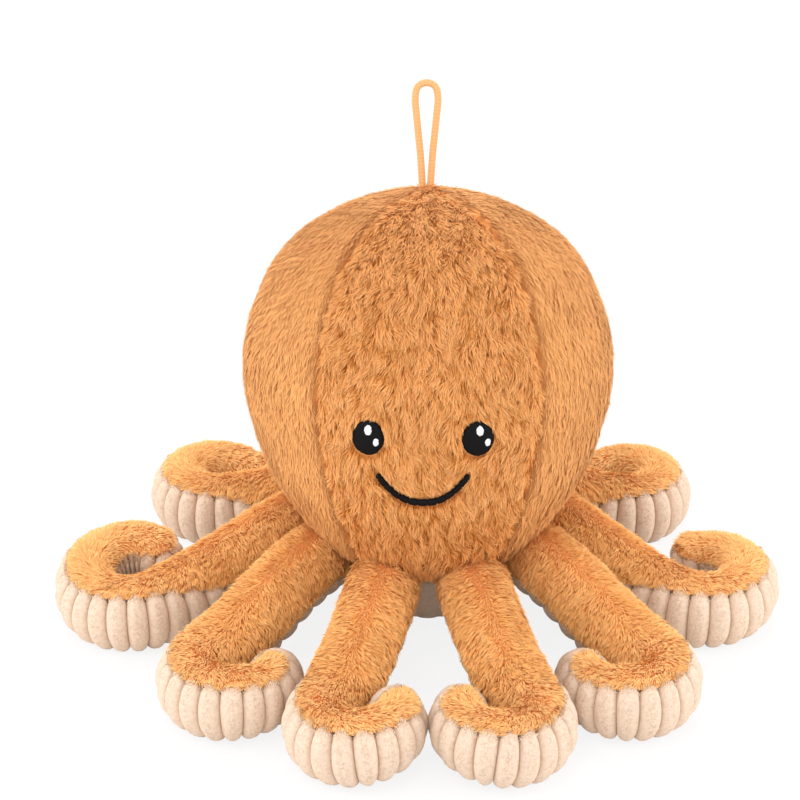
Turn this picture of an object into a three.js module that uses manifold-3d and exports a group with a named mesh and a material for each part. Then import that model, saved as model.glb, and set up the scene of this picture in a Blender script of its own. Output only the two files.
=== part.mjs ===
// Plush octopus sitting on its base with eight curled tentacles and a hanging loop.
// Millimetres, +Z up, face towards -Y, origin at the centre of the base on the floor.
import * as THREE from 'three';
import { mergeVertices } from 'three/addons/utils/BufferGeometryUtils.js';
import Module from 'manifold-3d';

const wasm = await Module();
wasm.setup();

// Clearances and cuts
const gap = 0.35; // between pieces that are sewn or pressed together
const floorFlat = 0.5; // depth pressed flat where a tentacle rests on the floor
const cutOverrun = 20; // how far a cutting body reaches past what it cuts

// Body: a leaning axis with rings round it, from the floor to the crown
const bodyLength = 163; // along the axis
const bodyRadius = 67.8; // at the widest ring
const neckHeight = 27.4; // seam between the base panel and the head panels
const neckRadius = 31;
const headLean = 13.5; // degrees that the head leans back
const leanStart = 24; // along the axis, where the lean begins
const leanEnd = 64; // along the axis, where the lean is complete
const plushWall = 2.6; // pile and backing of the head panels
const panelCount = 5;
const panelSegments = 5; // flat facets across one panel
const seamDip = 1.5; // how far the seams sink between the panels
const crownOpening = 4.2; // radius of the seam ring that holds the loop
const crownRise = 0.4; // how far the crown ring lies below the top of the axis
const axisSteps = 60; // steps that follow the bend of the axis

// Tentacles
const rootRing = 43; // distance of the root pivots from the axis
const rootHeight = 30; // height of the root pivots
const rootRadius = 13;
const middleRadius = 12.6;
const curlTubeRadius = 11.6;
const tipRadius = 9.6;
const coverWall = 1.7;
const seamGap = 0.8; // between the cover and the ribbed strip along their seam
const leadLength = 80; // what the shares for the nearly straight leads are taken of
const curlRadius = 20; // what the shares for the radii of the curls are taken of
const tipLift = 10; // what the shares for the lift of the tips are taken of
const ribPitch = 8.4; // spacing of the ribs along the outside of the tentacle
const ribDepth = 1.2;
const coverEnd = 7; // length over which the cover rounds off before the tip
const seamTurnLead = 36; // how far before the curl the seams start to climb
const seamTurnLength = 42;
const outerSeamAngles = [8, 52]; // degrees round the tentacle, on its lead and in its curl
const innerSeamLead = 190; // the inner seam's angle on the lead; each tentacle has its own in the curl
const rootDomeAngles = [62, 31]; // degrees, rings of the rounded root end
const tipDomeAngles = [30, 60, 90];
const pathSteps = 300;
const leadRingStep = 4; // half ribs from one ring of the cover to the next, before the curl
const curlRingStep = 4;
const coverSegments = 4; // flat facets across the cover
const coverLiningSegments = 3;
const stripSegments = 5;
const stuffingSides = 5;
const socketClearance = 1; // between the root dome and the corners of its socket
const socketSides = 10;
const socketRows = 7;
const socketReach = 30; // length of the clearance cut outside the socket

// Swing of the tentacles at the root, degrees
const swingDown = -12;
const swingUp = 26;
const swingSteps = 3;

// Embroidery on the face panel
const threadGap = 0.45; // between the stitches and the panel's facets
const threadRise = 1.2; // thickness of the satin stitch
const glintRise = 0.7;
const faceShift = -2.1; // how far the whole face sits to one side of the middle
const eyeWidth = 11.4;
const eyeHeight = 12.8;
const eyeSpacing = 37.8;
const eyeLevel = 84.7; // along the axis
const smileWidth = 31.4;
const smileDrop = 10.3; // how far the middle of the smile hangs below its ends
const smileLevel = 71.3; // along the axis, at the ends of the smile
const smileBand = 2.1;
const smileSteps = 12;
const eyeSides = 14;
const glintSides = 8;

// Hanging loop
const loopThickness = 2.7;
const loopSides = 8;
const loopSteps = 20;
// Points of its left leg from inside the crown to the top of the loop: across and above the crown
const loopRoute = [
  [-1.55, -2.5], [-1.55, 0.5], [-1.8, 5], [-2.3, 12], [-3, 19], [-3.7, 26], [-4.1, 31.5],
  [-3.1, 35.5], [0, 36.9],
];
const loopShift = -0.7; // how far the whole loop sits to one side of the middle

// Shares along the body: height of each ring above the neck seam, and its radius
const headHeightShares = [0, 0.029, 0.11, 0.222, 0.356, 0.483, 0.616, 0.743, 0.84, 0.914, 0.963];
const headRadiusShares = [0.457, 0.56, 0.7, 0.855, 0.953, 1, 0.978, 0.886, 0.76, 0.57, 0.353];
const baseHeightShares = [0, 0.22, 0.5, 0.78, 1];
const baseRadiusShares = [0.3, 0.66, 0.85, 0.95, 1];
const taperLengthShares = [0, 0.45, 0.8, 1]; // where the tentacle's radii are set
const coverCloseShares = [0, 0.45, 0.75, 0.92, 1]; // rings on the rounded end of the cover
const tallShare = 1.15; // height of a tentacle's section in its curl, to its width
const tipRiseShare = 0.25; // where in the curl the tentacle starts to rise
const seamWidenShare = 0.3; // how much wider the seam gap is where the cover closes
const stuffingFillShare = 0.85; // of the sleeve's inner radius, which clears its facets
const patchCoreShare = 0.6; // middle ring under an embroidered patch
const patchCrownShare = 0.7; // flat top of an embroidered patch
const patchShoulderShare = 0.6; // of the thread's thickness, where the patch's edge rounds off
const glintShares = [
  { label: 'large_glint', across: 0.03, up: 0.25, width: 0.23, height: 0.28 },
  { label: 'small_glint', across: 0.27, up: -0.07, width: 0.18, height: 0.22 },
];

const toRadians = THREE.MathUtils.degToRad;
const smooth = (t) => THREE.MathUtils.smoothstep(t, 0, 1);
const leastHalf = toRadians(2); // half the angle that the cover still spans where it ends
const tieLag = 1e-6; // settles which of two level points a bridge joins first

// The eight tentacles, named as seen from the front: left is -X.
// Angles are degrees, measured from the front towards -X.
const leftTentacles = [
  {
    name: 'left_front', root: 22.5, yaw: -11.5, bend: 17, sweep: 228, turn: -1,
    leadShare: 0.75, curlShares: [0.69, 0.66], liftShare: 0.4, innerSeam: 184,
  },
  {
    name: 'left_mid_front', root: 67.5, yaw: -28, bend: 2, sweep: 228, turn: -1,
    leadShare: 0.775, curlShares: [0.76, 0.72], liftShare: 0.2, innerSeam: 184,
  },
  {
    name: 'left_mid_back', root: 112.5, yaw: -57, bend: -1, sweep: 250, turn: 1,
    leadShare: 0.925, curlShares: [0.84, 0.78], liftShare: 1, innerSeam: 162,
  },
  {
    name: 'left_back', root: 157.5, yaw: -51.5, bend: -18, sweep: 240, turn: 1,
    leadShare: 0.8, curlShares: [0.84, 0.78], liftShare: 0.1, innerSeam: 162,
  },
];

// What sets tentacles on the right apart from their twins on the left.
const rightTentacles = {
  right_front: { leadShare: 0.745, curlShares: [0.72, 0.69] },
  right_mid_back: {
    yaw: 60, sweep: 215, leadShare: 0.8, curlShares: [0.9, 0.88], liftShare: 0.3,
  },
  right_back: { sweep: 235, leadShare: 0.765, curlShares: [0.78, 0.74], innerSeam: 176 },
};

function mirrored(spec) {
  const name = spec.name.replace('left', 'right');
  const turned = { root: -spec.root, yaw: -spec.yaw, bend: -spec.bend, turn: -spec.turn };
  return { ...spec, ...turned, name, ...rightTentacles[name] };
}

const tentacles = [...leftTentacles, ...leftTentacles.map(mirrored)];

// Colours of the plush, the ribbed fabric, the filling and the thread
const plushTone = { color: 0xe3a064, roughness: 0.95, metalness: 0 };
const ribbedTone = { color: 0xeed8c0, roughness: 0.9, metalness: 0 };
const fillingTone = { color: 0xf4f2ee, roughness: 1, metalness: 0 };
const blackTone = { color: 0x141416, roughness: 0.6, metalness: 0 };
const whiteTone = { color: 0xf4f4f2, roughness: 0.6, metalness: 0 };
const loopTone = { color: 0xecae70, roughness: 0.85, metalness: 0 };

function piece(name, geometry, tone) {
  const material = new THREE.MeshStandardMaterial({ ...tone, flatShading: true });
  const mesh = new THREE.Mesh(geometry, material);
  mesh.name = name;
  return mesh;
}

// Closed bodies from lists of triangles

function addQuad(triangles, a, b, c, d) {
  triangles.push([a, b, c], [a, c, d]);
}

// Joins two lines of points with triangles, running forward along a and back along b.
// The marks say how far along its line each point lies.
function addBridge(triangles, a, b, marksA = evenMarks(a), marksB = evenMarks(b), lag = 0) {
  let i = 0;
  let j = 0;
  while (i < a.length - 1 || j < b.length - 1) {
    const stepA = j === b.length - 1 || (i < a.length - 1 && marksA[i + 1] + lag <= marksB[j + 1]);
    if (stepA) {
      triangles.push([a[i], a[i + 1], b[j]]);
      i += 1;
    } else {
      triangles.push([a[i], b[j + 1], b[j]]);
      j += 1;
    }
  }
}

function evenMarks(line) {
  return line.map((point, k) => k / (line.length - 1));
}

function signedVolume(position, index) {
  const corners = [new THREE.Vector3(), new THREE.Vector3(), new THREE.Vector3()];
  let volume = 0;
  for (let k = 0; k < index.length; k += 3) {
    corners.forEach((corner, c) => corner.fromBufferAttribute(position, index[k + c]));
    volume += corners[0].dot(corners[1].clone().cross(corners[2]));
  }
  return volume;
}

function closedBody(triangles) {
  const soup = new THREE.BufferGeometry();
  const values = triangles.flat().flatMap((point) => point.toArray());
  soup.setAttribute('position', new THREE.Float32BufferAttribute(values, 3));
  const merged = mergeVertices(soup);
  const position = merged.getAttribute('position');
  const index = [];
  for (let k = 0; k < merged.index.count; k += 3) {
    const [a, b, c] = [0, 1, 2].map((corner) => merged.index.getX(k + corner));
    if (a !== b && b !== c && c !== a) index.push(a, b, c);
  }
  if (signedVolume(position, index) < 0) index.reverse();
  merged.setIndex(index);
  return merged;
}

// A sheet with thickness: its outer and inner grids of points, closed along all four edges.
// The marks say how far along the sheet each row lies.
function slab(outer, inner, outerMarks, innerMarks) {
  const triangles = [];
  const addGrid = (grid, flip) => {
    for (let i = 0; i < grid.length - 1; i++) {
      for (let j = 0; j < grid[i].length - 1; j++) {
        const [a, b, c, d] = [grid[i][j], grid[i + 1][j], grid[i + 1][j + 1], grid[i][j + 1]];
        if (flip) addQuad(triangles, a, d, c, b);
        else addQuad(triangles, a, b, c, d);
      }
    }
  };
  const column = (grid, j) => grid.map((row) => row.at(j));
  addGrid(outer, false);
  addGrid(inner, true);
  addBridge(triangles, column(inner, 0), column(outer, 0), innerMarks, outerMarks);
  addBridge(triangles, outer[0], inner[0]);
  addBridge(triangles, column(outer, -1), column(inner, -1), outerMarks, innerMarks, tieLag);
  addBridge(triangles, inner.at(-1), outer.at(-1));
  return closedBody(triangles);
}

// A solid through closed rings of points, with its first and last ring filled.
function loft(rings) {
  const triangles = [];
  const count = rings[0].length;
  for (let i = 0; i < rings.length - 1; i++) {
    for (let j = 0; j < count; j++) {
      const next = (j + 1) % count;
      addQuad(triangles, rings[i][j], rings[i + 1][j], rings[i + 1][next], rings[i][next]);
    }
  }
  const first = rings[0];
  const last = rings.at(-1);
  for (let j = 1; j < count - 1; j++) {
    triangles.push([first[0], first[j], first[j + 1]], [last[0], last[j + 1], last[j]]);
  }
  return closedBody(triangles);
}

function toSolid(geometry) {
  const bare = geometry.clone();
  bare.deleteAttribute('normal');
  bare.deleteAttribute('uv');
  const merged = mergeVertices(bare);
  const vertProperties = new Float32Array(merged.getAttribute('position').array);
  const triVerts = new Uint32Array(merged.index.array);
  return new wasm.Manifold(new wasm.Mesh({ numProp: 3, vertProperties, triVerts }));
}

function toGeometry(solid) {
  const mesh = solid.getMesh();
  const geometry = new THREE.BufferGeometry();
  const position = new Float32Array(mesh.vertProperties);
  geometry.setAttribute('position', new THREE.BufferAttribute(position, 3));
  geometry.setIndex(new THREE.BufferAttribute(new Uint32Array(mesh.triVerts), 1));
  return geometry;
}

function cutBy(geometry, cutters) {
  const cut = cutters.reduce((solid, cutter) => solid.subtract(cutter), toSolid(geometry));
  return toGeometry(cut);
}

// Body surface

// Rings of the body: distance along the axis and radius, from the floor to the crown.
function bodyRings() {
  const rings = baseHeightShares.map((share, k) => ({
    along: share * neckHeight,
    radius: baseRadiusShares[k] * neckRadius,
  }));
  const headLength = bodyLength - neckHeight;
  headHeightShares.slice(1).forEach((share, k) => rings.push({
    along: neckHeight + share * headLength,
    radius: headRadiusShares[k + 1] * bodyRadius,
  }));
  rings.push({ along: bodyLength - crownRise, radius: crownOpening });
  const centre = { along: 0, radius: 0 };
  const crown = { along: bodyLength, radius: 0 };
  rings.forEach((ring, k) => {
    const before = rings[k - 1] ?? centre;
    const after = rings[k + 1] ?? crown;
    const rise = after.along - before.along;
    const spread = after.radius - before.radius;
    const size = Math.hypot(rise, spread);
    ring.normalRadius = rise / size;
    ring.normalAlong = -spread / size;
  });
  return rings;
}

const rings = bodyRings();
const neckRing = baseHeightShares.length - 1;
const bodySides = panelCount * panelSegments;

// The axis at a distance from the floor: it rises straight, then leans back smoothly.
function axisAt(along) {
  const step = along / axisSteps;
  const axis = { y: 0, z: 0, lean: 0 };
  for (let k = 0; k < axisSteps; k++) {
    const here = (k + 0.5) * step;
    axis.lean = toRadians(headLean) * smooth((here - leanStart) / (leanEnd - leanStart));
    axis.y += Math.sin(axis.lean) * step;
    axis.z += Math.cos(axis.lean) * step;
  }
  return axis;
}

// A point at an angle round the axis: 0 is the front, positive towards +X.
function pointAround(along, radius, angle) {
  const axis = axisAt(along);
  const forward = -radius * Math.cos(angle);
  return new THREE.Vector3(
    radius * Math.sin(angle),
    axis.y + forward * Math.cos(axis.lean),
    axis.z - forward * Math.sin(axis.lean),
  );
}

function ringPoint(ring, angle, depth) {
  const along = ring.along - depth * ring.normalAlong;
  const radius = ring.radius - depth * ring.normalRadius;
  return pointAround(along, radius, angle);
}

function facetAngle(side) {
  return ((side - panelSegments / 2) / bodySides) * 2 * Math.PI;
}

// The seams between the panels lie deeper than the rest of the surface.
function dipAt(ring, side) {
  const onSeam = side % panelSegments === 0;
  const share = Math.min(1, (ring.radius - crownOpening) / neckRadius);
  return onSeam ? seamDip * share : 0;
}

function headPanel(panel) {
  const grid = (depth) => rings.slice(neckRing).map((ring) => {
    const row = [];
    for (let k = 0; k <= panelSegments; k++) {
      const side = panel * panelSegments + k;
      const inset = k === 0 ? 1 : k === panelSegments ? -1 : 0;
      const angle = facetAngle(side) + (inset * gap) / 2 / ring.radius;
      row.push(ringPoint(ring, angle, depth + dipAt(ring, side)));
    }
    return row;
  });
  return slab(grid(0), grid(plushWall));
}

function bodyStuffing() {
  const depth = plushWall + gap;
  return loft(rings.map((ring, k) => {
    const row = [];
    for (let side = 0; side < bodySides; side++) {
      const dip = k > neckRing ? dipAt(ring, side) : 0;
      const extra = k === neckRing ? seamDip : dip;
      row.push(ringPoint(ring, facetAngle(side), depth + extra));
    }
    return row;
  }));
}

function basePanel() {
  const outline = rings.slice(0, neckRing + 1);
  const offset = (ring, depth) => new THREE.Vector2(
    ring.radius - depth * ring.normalRadius,
    ring.along - depth * ring.normalAlong,
  );
  const topEdge = neckHeight - gap;
  const outer = outline.map((ring) => offset(ring, 0));
  const inner = outline.map((ring) => offset(ring, plushWall)).reverse();
  outer.at(-1).y = topEdge;
  inner[0].y = topEdge;
  const profile = [new THREE.Vector2(0, 0), ...outer, ...inner, new THREE.Vector2(0, plushWall)];
  const geometry = new THREE.LatheGeometry(profile, bodySides, facetAngle(0));
  geometry.rotateX(Math.PI / 2);
  return cleaned(geometry);
}

// Merges the shared points of a library geometry and drops its collapsed triangles.
function cleaned(geometry) {
  const flat = geometry.index ? geometry.toNonIndexed() : geometry;
  const position = flat.getAttribute('position');
  const triangles = [];
  for (let k = 0; k < position.count; k += 3) {
    const corner = (c) => new THREE.Vector3().fromBufferAttribute(position, k + c);
    triangles.push([corner(0), corner(1), corner(2)]);
  }
  return closedBody(triangles);
}

// Tentacles

// Heading of a tentacle as a horizontal direction; 0 is towards the front, positive towards -X.
function direction(heading) {
  return new THREE.Vector3(-Math.sin(heading), -Math.cos(heading), 0);
}

// Centre line of a tentacle from its root pivot: a nearly straight lead, then a flat curl.
// The line is turned so that the middle of its curl lies towards -Y of its own group.
function tentaclePath(spec) {
  const lead = spec.leadShare * leadLength;
  const [curlStart, curlEnd] = spec.curlShares.map((share) => share * curlRadius);
  const growth = curlEnd - curlStart;
  const curlLength = (toRadians(spec.sweep) * growth) / Math.log(curlEnd / curlStart);
  const length = lead + curlLength;
  const step = length / pathSteps;
  const nodes = [];
  const place = new THREE.Vector3();
  let heading = toRadians(spec.root + spec.yaw);
  let outside = 0;
  for (let k = 0; k <= pathSteps; k++) {
    const s = k * step;
    nodes.push({ s, place: place.clone(), heading, outside });
    const inCurl = Math.max(0, (s - lead) / curlLength);
    const curled = s < lead ? 0 : 1 / (curlStart + growth * inCurl);
    heading += step * (s < lead ? toRadians(spec.bend) / lead : spec.turn * curled);
    outside += step * (1 + curled * tubeRadius(s / length));
    place.addScaledVector(direction(heading), step);
  }
  const curled = nodes.filter((node) => node.s > lead);
  const middle = curled.reduce((sum, node) => sum.add(node.place), new THREE.Vector3());
  const swing = Math.atan2(-middle.x, -middle.y);
  nodes.forEach((node) => {
    node.place.applyAxisAngle(new THREE.Vector3(0, 0, 1), swing);
    node.heading -= swing;
  });
  return { nodes, length, lead, curlLength, swing, step, innerSeam: spec.innerSeam };
}

function tubeRadius(share) {
  const radii = [rootRadius, middleRadius, curlTubeRadius, tipRadius];
  for (let k = 1; k < radii.length; k++) {
    const [from, to] = [taperLengthShares[k - 1], taperLengthShares[k]];
    if (share <= to) return THREE.MathUtils.mapLinear(share, from, to, radii[k - 1], radii[k]);
  }
  return tipRadius;
}

// Height of a section to its width: round at the root, taller in the curl.
function tallness(path, s) {
  return THREE.MathUtils.lerp(1, tallShare, smooth(s / path.lead));
}

// Height of the centre line: down from the root to the floor, then up a little at the tip.
function centreHeight(spec, path, s) {
  const lying = tubeRadius(s / path.length) * tallness(path, s) - floorFlat;
  const drop = 1 - smooth(s / path.lead);
  const inCurl = (s - path.lead) / path.curlLength;
  const rise = smooth((inCurl - tipRiseShare) / (1 - tipRiseShare));
  return lying + (rootHeight - rootRadius + floorFlat) * drop + spec.liftShare * tipLift * rise;
}

// The cross-section at a distance from the root: its centre, axes, radius and tallness.
function sectionAt(spec, path, s) {
  const at = THREE.MathUtils.clamp(s / path.step, 0, path.nodes.length - 1);
  const before = path.nodes[Math.min(Math.floor(at), path.nodes.length - 2)];
  const after = path.nodes[Math.min(Math.floor(at), path.nodes.length - 2) + 1];
  const share = at - before.s / path.step;
  const centre = before.place.clone().lerp(after.place, share);
  const heading = THREE.MathUtils.lerp(before.heading, after.heading, share);
  const height = (at) => centreHeight(spec, path, at) - rootHeight;
  centre.z = height(s);
  const reach = path.step;
  const tangent = direction(heading);
  tangent.z = (height(s + reach) - height(s - reach)) / (2 * reach);
  tangent.normalize();
  const outward = direction(heading - (spec.turn * Math.PI) / 2);
  const upward = tangent.clone().cross(outward).multiplyScalar(spec.turn).normalize();
  const radius = tubeRadius(s / path.length);
  const tall = tallness(path, s);
  return { s, mark: s, centre, tangent, outward, upward, radius, tall, dome: 0 };
}

// A rounded end: the section moved along the tangent by a share of its own radius.
function domed(section, degrees, sense) {
  const dome = toRadians(degrees);
  return { ...section, dome, sense, mark: section.s + sense * section.radius * Math.sin(dome) };
}

function sectionPoint(section, angle, radius) {
  const shrunk = radius * Math.cos(section.dome);
  const shift = section.dome ? section.sense * radius * Math.sin(section.dome) : 0;
  return section.centre.clone()
    .addScaledVector(section.tangent, shift)
    .addScaledVector(section.outward, shrunk * Math.cos(angle))
    .addScaledVector(section.upward, shrunk * section.tall * Math.sin(angle));
}

// Angles of the two seams of the plush cover, measured from the outside of the curl upwards.
function seamAngles(path, section) {
  const turning = smooth((section.s - path.lead + seamTurnLead) / seamTurnLength);
  const outer = THREE.MathUtils.lerp(...outerSeamAngles, turning);
  const inner = THREE.MathUtils.lerp(innerSeamLead, path.innerSeam, turning);
  const middle = (outer + inner) / 2;
  const closing = THREE.MathUtils.clamp((section.s - path.length + coverEnd) / coverEnd, 0, 1);
  const half = ((inner - outer) / 2) * Math.sqrt(1 - closing * closing);
  return { outer: toRadians(middle - half), inner: toRadians(middle + half), closing };
}

function fan(section, from, to, segments, radius) {
  const row = [];
  for (let k = 0; k <= segments; k++) {
    row.push(sectionPoint(section, THREE.MathUtils.lerp(from, to, k / segments), radius));
  }
  return row;
}

// Distance from the root at which the outside of the tentacle has a given length.
function lengthAt(path, outside) {
  const next = Math.max(1, path.nodes.findIndex((node) => node.outside >= outside));
  const [low, high] = [path.nodes[next - 1], path.nodes[next]];
  return THREE.MathUtils.mapLinear(outside, low.outside, high.outside, low.s, high.s);
}

// Sections for the ribs, two to each rib, and the coarser ones for the cover and the filling.
function tentacleSections(spec) {
  const path = tentaclePath(spec);
  const root = sectionAt(spec, path, 0);
  const rootDome = rootDomeAngles.map((degrees) => domed(root, degrees, -1));
  const tip = sectionAt(spec, path, path.length);
  const tipDome = tipDomeAngles.map((degrees) => domed(tip, degrees, 1));
  const closeStart = path.length - coverEnd;
  const outside = path.nodes.find((node) => node.s >= closeStart).outside;
  const ribs = Math.round(outside / ribPitch);
  const ribbed = [];
  const plain = [];
  const addRing = (s, crest, isPlain) => {
    const section = { ...sectionAt(spec, path, s), crest };
    ribbed.push(section);
    if (isPlain) plain.push(section);
  };
  for (let k = 0; k < 2 * ribs; k++) {
    const s = lengthAt(path, (k / 2 / ribs) * outside);
    const ringStep = s < path.lead - seamTurnLead ? leadRingStep : curlRingStep;
    addRing(s, k % 2 === 1, k % ringStep === 0);
  }
  coverCloseShares.forEach((share, k) => addRing(closeStart + share * coverEnd, k % 2 === 1, true));
  return { path, rootDome, tipDome, ribbed, plain };
}

function plushCover(sections) {
  const list = [...sections.rootDome, ...sections.plain];
  const grid = (segments, wall) => list.map((section) => {
    const seams = seamAngles(sections.path, section);
    const middle = (seams.outer + seams.inner) / 2;
    const from = Math.min(seams.outer, middle - leastHalf);
    const to = Math.max(seams.inner, middle + leastHalf);
    return fan(section, from, to, segments, section.radius - wall);
  });
  return slab(grid(coverSegments, 0), grid(coverLiningSegments, coverWall));
}

// Angles between which the ribbed strip runs round underneath, clear of the cover's seams.
function stripAngles(sections, section) {
  const seams = seamAngles(sections.path, section);
  const clear = (seamGap * (1 + seamWidenShare * seams.closing)) / section.radius;
  const middle = (seams.outer + seams.inner) / 2;
  return {
    from: Math.max(seams.inner, middle + leastHalf) + clear,
    to: Math.min(seams.outer, middle - leastHalf) + 2 * Math.PI - clear,
  };
}

function ribbedStrip(sections) {
  const inner = [...sections.rootDome, ...sections.plain, ...sections.tipDome];
  const edgePoint = (section, end) => {
    return sectionPoint(section, stripAngles(sections, section)[end], section.radius);
  };
  // The sewn edges run straight between the cover's rings.
  const sewnPoint = (section, end) => {
    if (section.crest === undefined) return edgePoint(section, end);
    const next = Math.max(1, sections.plain.findIndex((ring) => ring.s >= section.s));
    const [low, high] = [sections.plain[next - 1], sections.plain[next]];
    const share = (section.s - low.s) / (high.s - low.s);
    return edgePoint(low, end).lerp(edgePoint(high, end), share);
  };
  const outerRow = (section) => {
    const { from, to } = stripAngles(sections, section);
    const valley = section.crest === false ? ribDepth : 0;
    const row = fan(section, from, to, stripSegments, section.radius - valley);
    row[0] = sewnPoint(section, 'from');
    row[row.length - 1] = sewnPoint(section, 'to');
    return row;
  };
  const innerRow = (section) => {
    const { from, to } = stripAngles(sections, section);
    return fan(section, from, to, stripSegments, section.radius - coverWall - ribDepth);
  };
  const outer = [...sections.rootDome, ...sections.ribbed, ...sections.tipDome];
  const mark = (section) => section.mark;
  return slab(outer.map(outerRow), inner.map(innerRow), outer.map(mark), inner.map(mark));
}

function tentacleStuffing(sections) {
  const lastCorner = ((stuffingSides - 1) / stuffingSides) * 2 * Math.PI;
  const list = [...sections.rootDome, ...sections.plain.slice(0, -coverCloseShares.length + 2)];
  return loft(list.map((section) => {
    const radius = (section.radius - coverWall - ribDepth) * stuffingFillShare;
    return fan(section, 0, lastCorner, stuffingSides - 1, radius);
  }));
}

// The space below the floor, in the frame of a tentacle's group.
function belowFloor() {
  const reach = 2 * bodyLength;
  const box = new THREE.BoxGeometry(reach, reach, cutOverrun);
  box.translate(0, 0, -cutOverrun / 2 - rootHeight);
  return toSolid(box);
}

function rootPivot(spec) {
  const pivot = direction(toRadians(spec.root)).multiplyScalar(rootRing);
  pivot.z = rootHeight;
  return pivot;
}

function tentacle(spec) {
  const sections = tentacleSections(spec);
  const strip = cutBy(ribbedStrip(sections), [belowFloor()]);
  const group = new THREE.Group();
  group.name = `${spec.name}_tentacle`;
  group.position.copy(rootPivot(spec));
  group.rotation.z = -sections.path.swing;
  group.add(piece(`${spec.name}_plush_cover`, plushCover(sections), plushTone));
  group.add(piece(`${spec.name}_ribbed_strip`, strip, ribbedTone));
  group.add(piece(`${spec.name}_stuffing`, tentacleStuffing(sections), fillingTone));
  return group;
}

// The space that a tentacle's root needs in the body, from its lowest to its highest swing.
function socketCutters(spec) {
  const path = tentaclePath(spec);
  const radius = rootRadius + socketClearance;
  const ball = new THREE.SphereGeometry(radius, socketSides, socketRows);
  const place = new THREE.Matrix4().makeRotationZ(-path.swing).setPosition(rootPivot(spec));
  const cutters = [ball];
  const start = direction(path.nodes[0].heading);
  for (let k = 0; k <= swingSteps; k++) {
    const angle = toRadians(THREE.MathUtils.lerp(swingDown, swingUp, k / swingSteps));
    const rod = new THREE.CylinderGeometry(radius, radius, socketReach, socketSides);
    rod.translate(0, socketReach / 2, 0);
    const along = start.clone().applyAxisAngle(new THREE.Vector3(-1, 0, 0), angle);
    const turn = new THREE.Quaternion().setFromUnitVectors(new THREE.Vector3(0, 1, 0), along);
    rod.applyQuaternion(turn);
    cutters.push(rod);
  }
  return cutters.map((cutter) => toSolid(cleaned(cutter.applyMatrix4(place))));
}

// Embroidery: patches that follow the facets of the face panel

// A point on the facets at a distance along the axis and across from the middle.
function facePoint(along, across, rise) {
  const above = rings.findIndex((ring) => ring.along > along);
  const [low, high] = [rings[above - 1], rings[above]];
  const share = (along - low.along) / (high.along - low.along);
  const radius = THREE.MathUtils.lerp(low.radius, high.radius, share);
  const side = panelSegments / 2 + (Math.asin(across / radius) / (2 * Math.PI)) * bodySides;
  const left = Math.floor(side);
  const corner = (ring, k) => ringPoint(ring, facetAngle(k), dipAt(ring, k) - rise);
  const edge = (ring) => corner(ring, left).lerp(corner(ring, left + 1), side - left);
  return edge(low).lerp(edge(high), share);
}

// An oval patch of thread: the middle of the patch, its size, its lift and thickness, its sides.
function ovalPatch({ along, across, width, height, lift, rise, sides }) {
  const ring = (size, depth) => {
    const row = [];
    for (let k = 0; k < sides; k++) {
      const angle = (k / sides) * 2 * Math.PI;
      const x = across + (size * width * Math.cos(angle)) / 2;
      const up = along + (size * height * Math.sin(angle)) / 2;
      row.push(facePoint(up, x, depth));
    }
    return row;
  };
  const top = lift + rise;
  const shoulder = lift + rise * patchShoulderShare;
  const under = [ring(0, lift), ring(patchCoreShare, lift), ring(1, lift)];
  return loft([...under, ring(1, shoulder), ring(patchCrownShare, top), ring(0, top)]);
}

function smileArc() {
  const centre = (t) => {
    const x = (t * smileWidth) / 2;
    return { x: faceShift + x, along: smileLevel - smileDrop * (1 - t * t) };
  };
  const grid = (columns, rise) => {
    const rows = [];
    for (let k = 0; k <= smileSteps; k++) {
      const t = (2 * k) / smileSteps - 1;
      const here = centre(t);
      const slope = (2 * smileDrop * t * 2) / smileWidth;
      const size = Math.hypot(1, slope);
      rows.push(columns.map((column) => {
        const reach = (column * smileBand) / 2;
        return facePoint(here.along + reach / size, here.x - (reach * slope) / size, rise);
      }));
    }
    return rows;
  };
  return slab(grid([-1, 0, 1], threadGap + threadRise), grid([-1, 0, 1], threadGap));
}

function eyePatch(across) {
  return ovalPatch({
    along: eyeLevel, across, width: eyeWidth, height: eyeHeight,
    lift: threadGap, rise: threadRise, sides: eyeSides,
  });
}

function glintPatch(across, shares) {
  return ovalPatch({
    along: eyeLevel + shares.up * eyeHeight,
    across: across + shares.across * eyeWidth,
    width: shares.width * eyeWidth,
    height: shares.height * eyeHeight,
    lift: threadGap + threadRise + gap,
    rise: glintRise,
    sides: glintSides,
  });
}

function face() {
  const group = new THREE.Group();
  for (const [name, side] of [['left', -1], ['right', 1]]) {
    const across = faceShift + (side * eyeSpacing) / 2;
    group.add(piece(`${name}_eye`, eyePatch(across), blackTone));
    for (const shares of glintShares) {
      group.add(piece(`${name}_eye_${shares.label}`, glintPatch(across, shares), whiteTone));
    }
  }
  group.add(piece('smile', smileArc(), blackTone));
  return group;
}

// Hanging loop: both legs are sewn into the crown seam, and the right leg mirrors the left one.
function hangingLoop() {
  const rightLeg = loopRoute.slice(0, -1).reverse().map(([across, up]) => [-across, up]);
  const points = [...loopRoute, ...rightLeg].map(([across, up]) => new THREE.Vector3(across, 0, up));
  const path = new THREE.CatmullRomCurve3(points);
  const outline = new THREE.Shape();
  for (let k = 0; k < loopSides; k++) {
    const angle = (k / loopSides) * 2 * Math.PI;
    const corner = [(loopThickness / 2) * Math.cos(angle), (loopThickness / 2) * Math.sin(angle)];
    if (k === 0) outline.moveTo(...corner);
    else outline.lineTo(...corner);
  }
  const tube = new THREE.ExtrudeGeometry(outline, { steps: loopSteps, extrudePath: path });
  return cleaned(tube);
}

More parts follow.
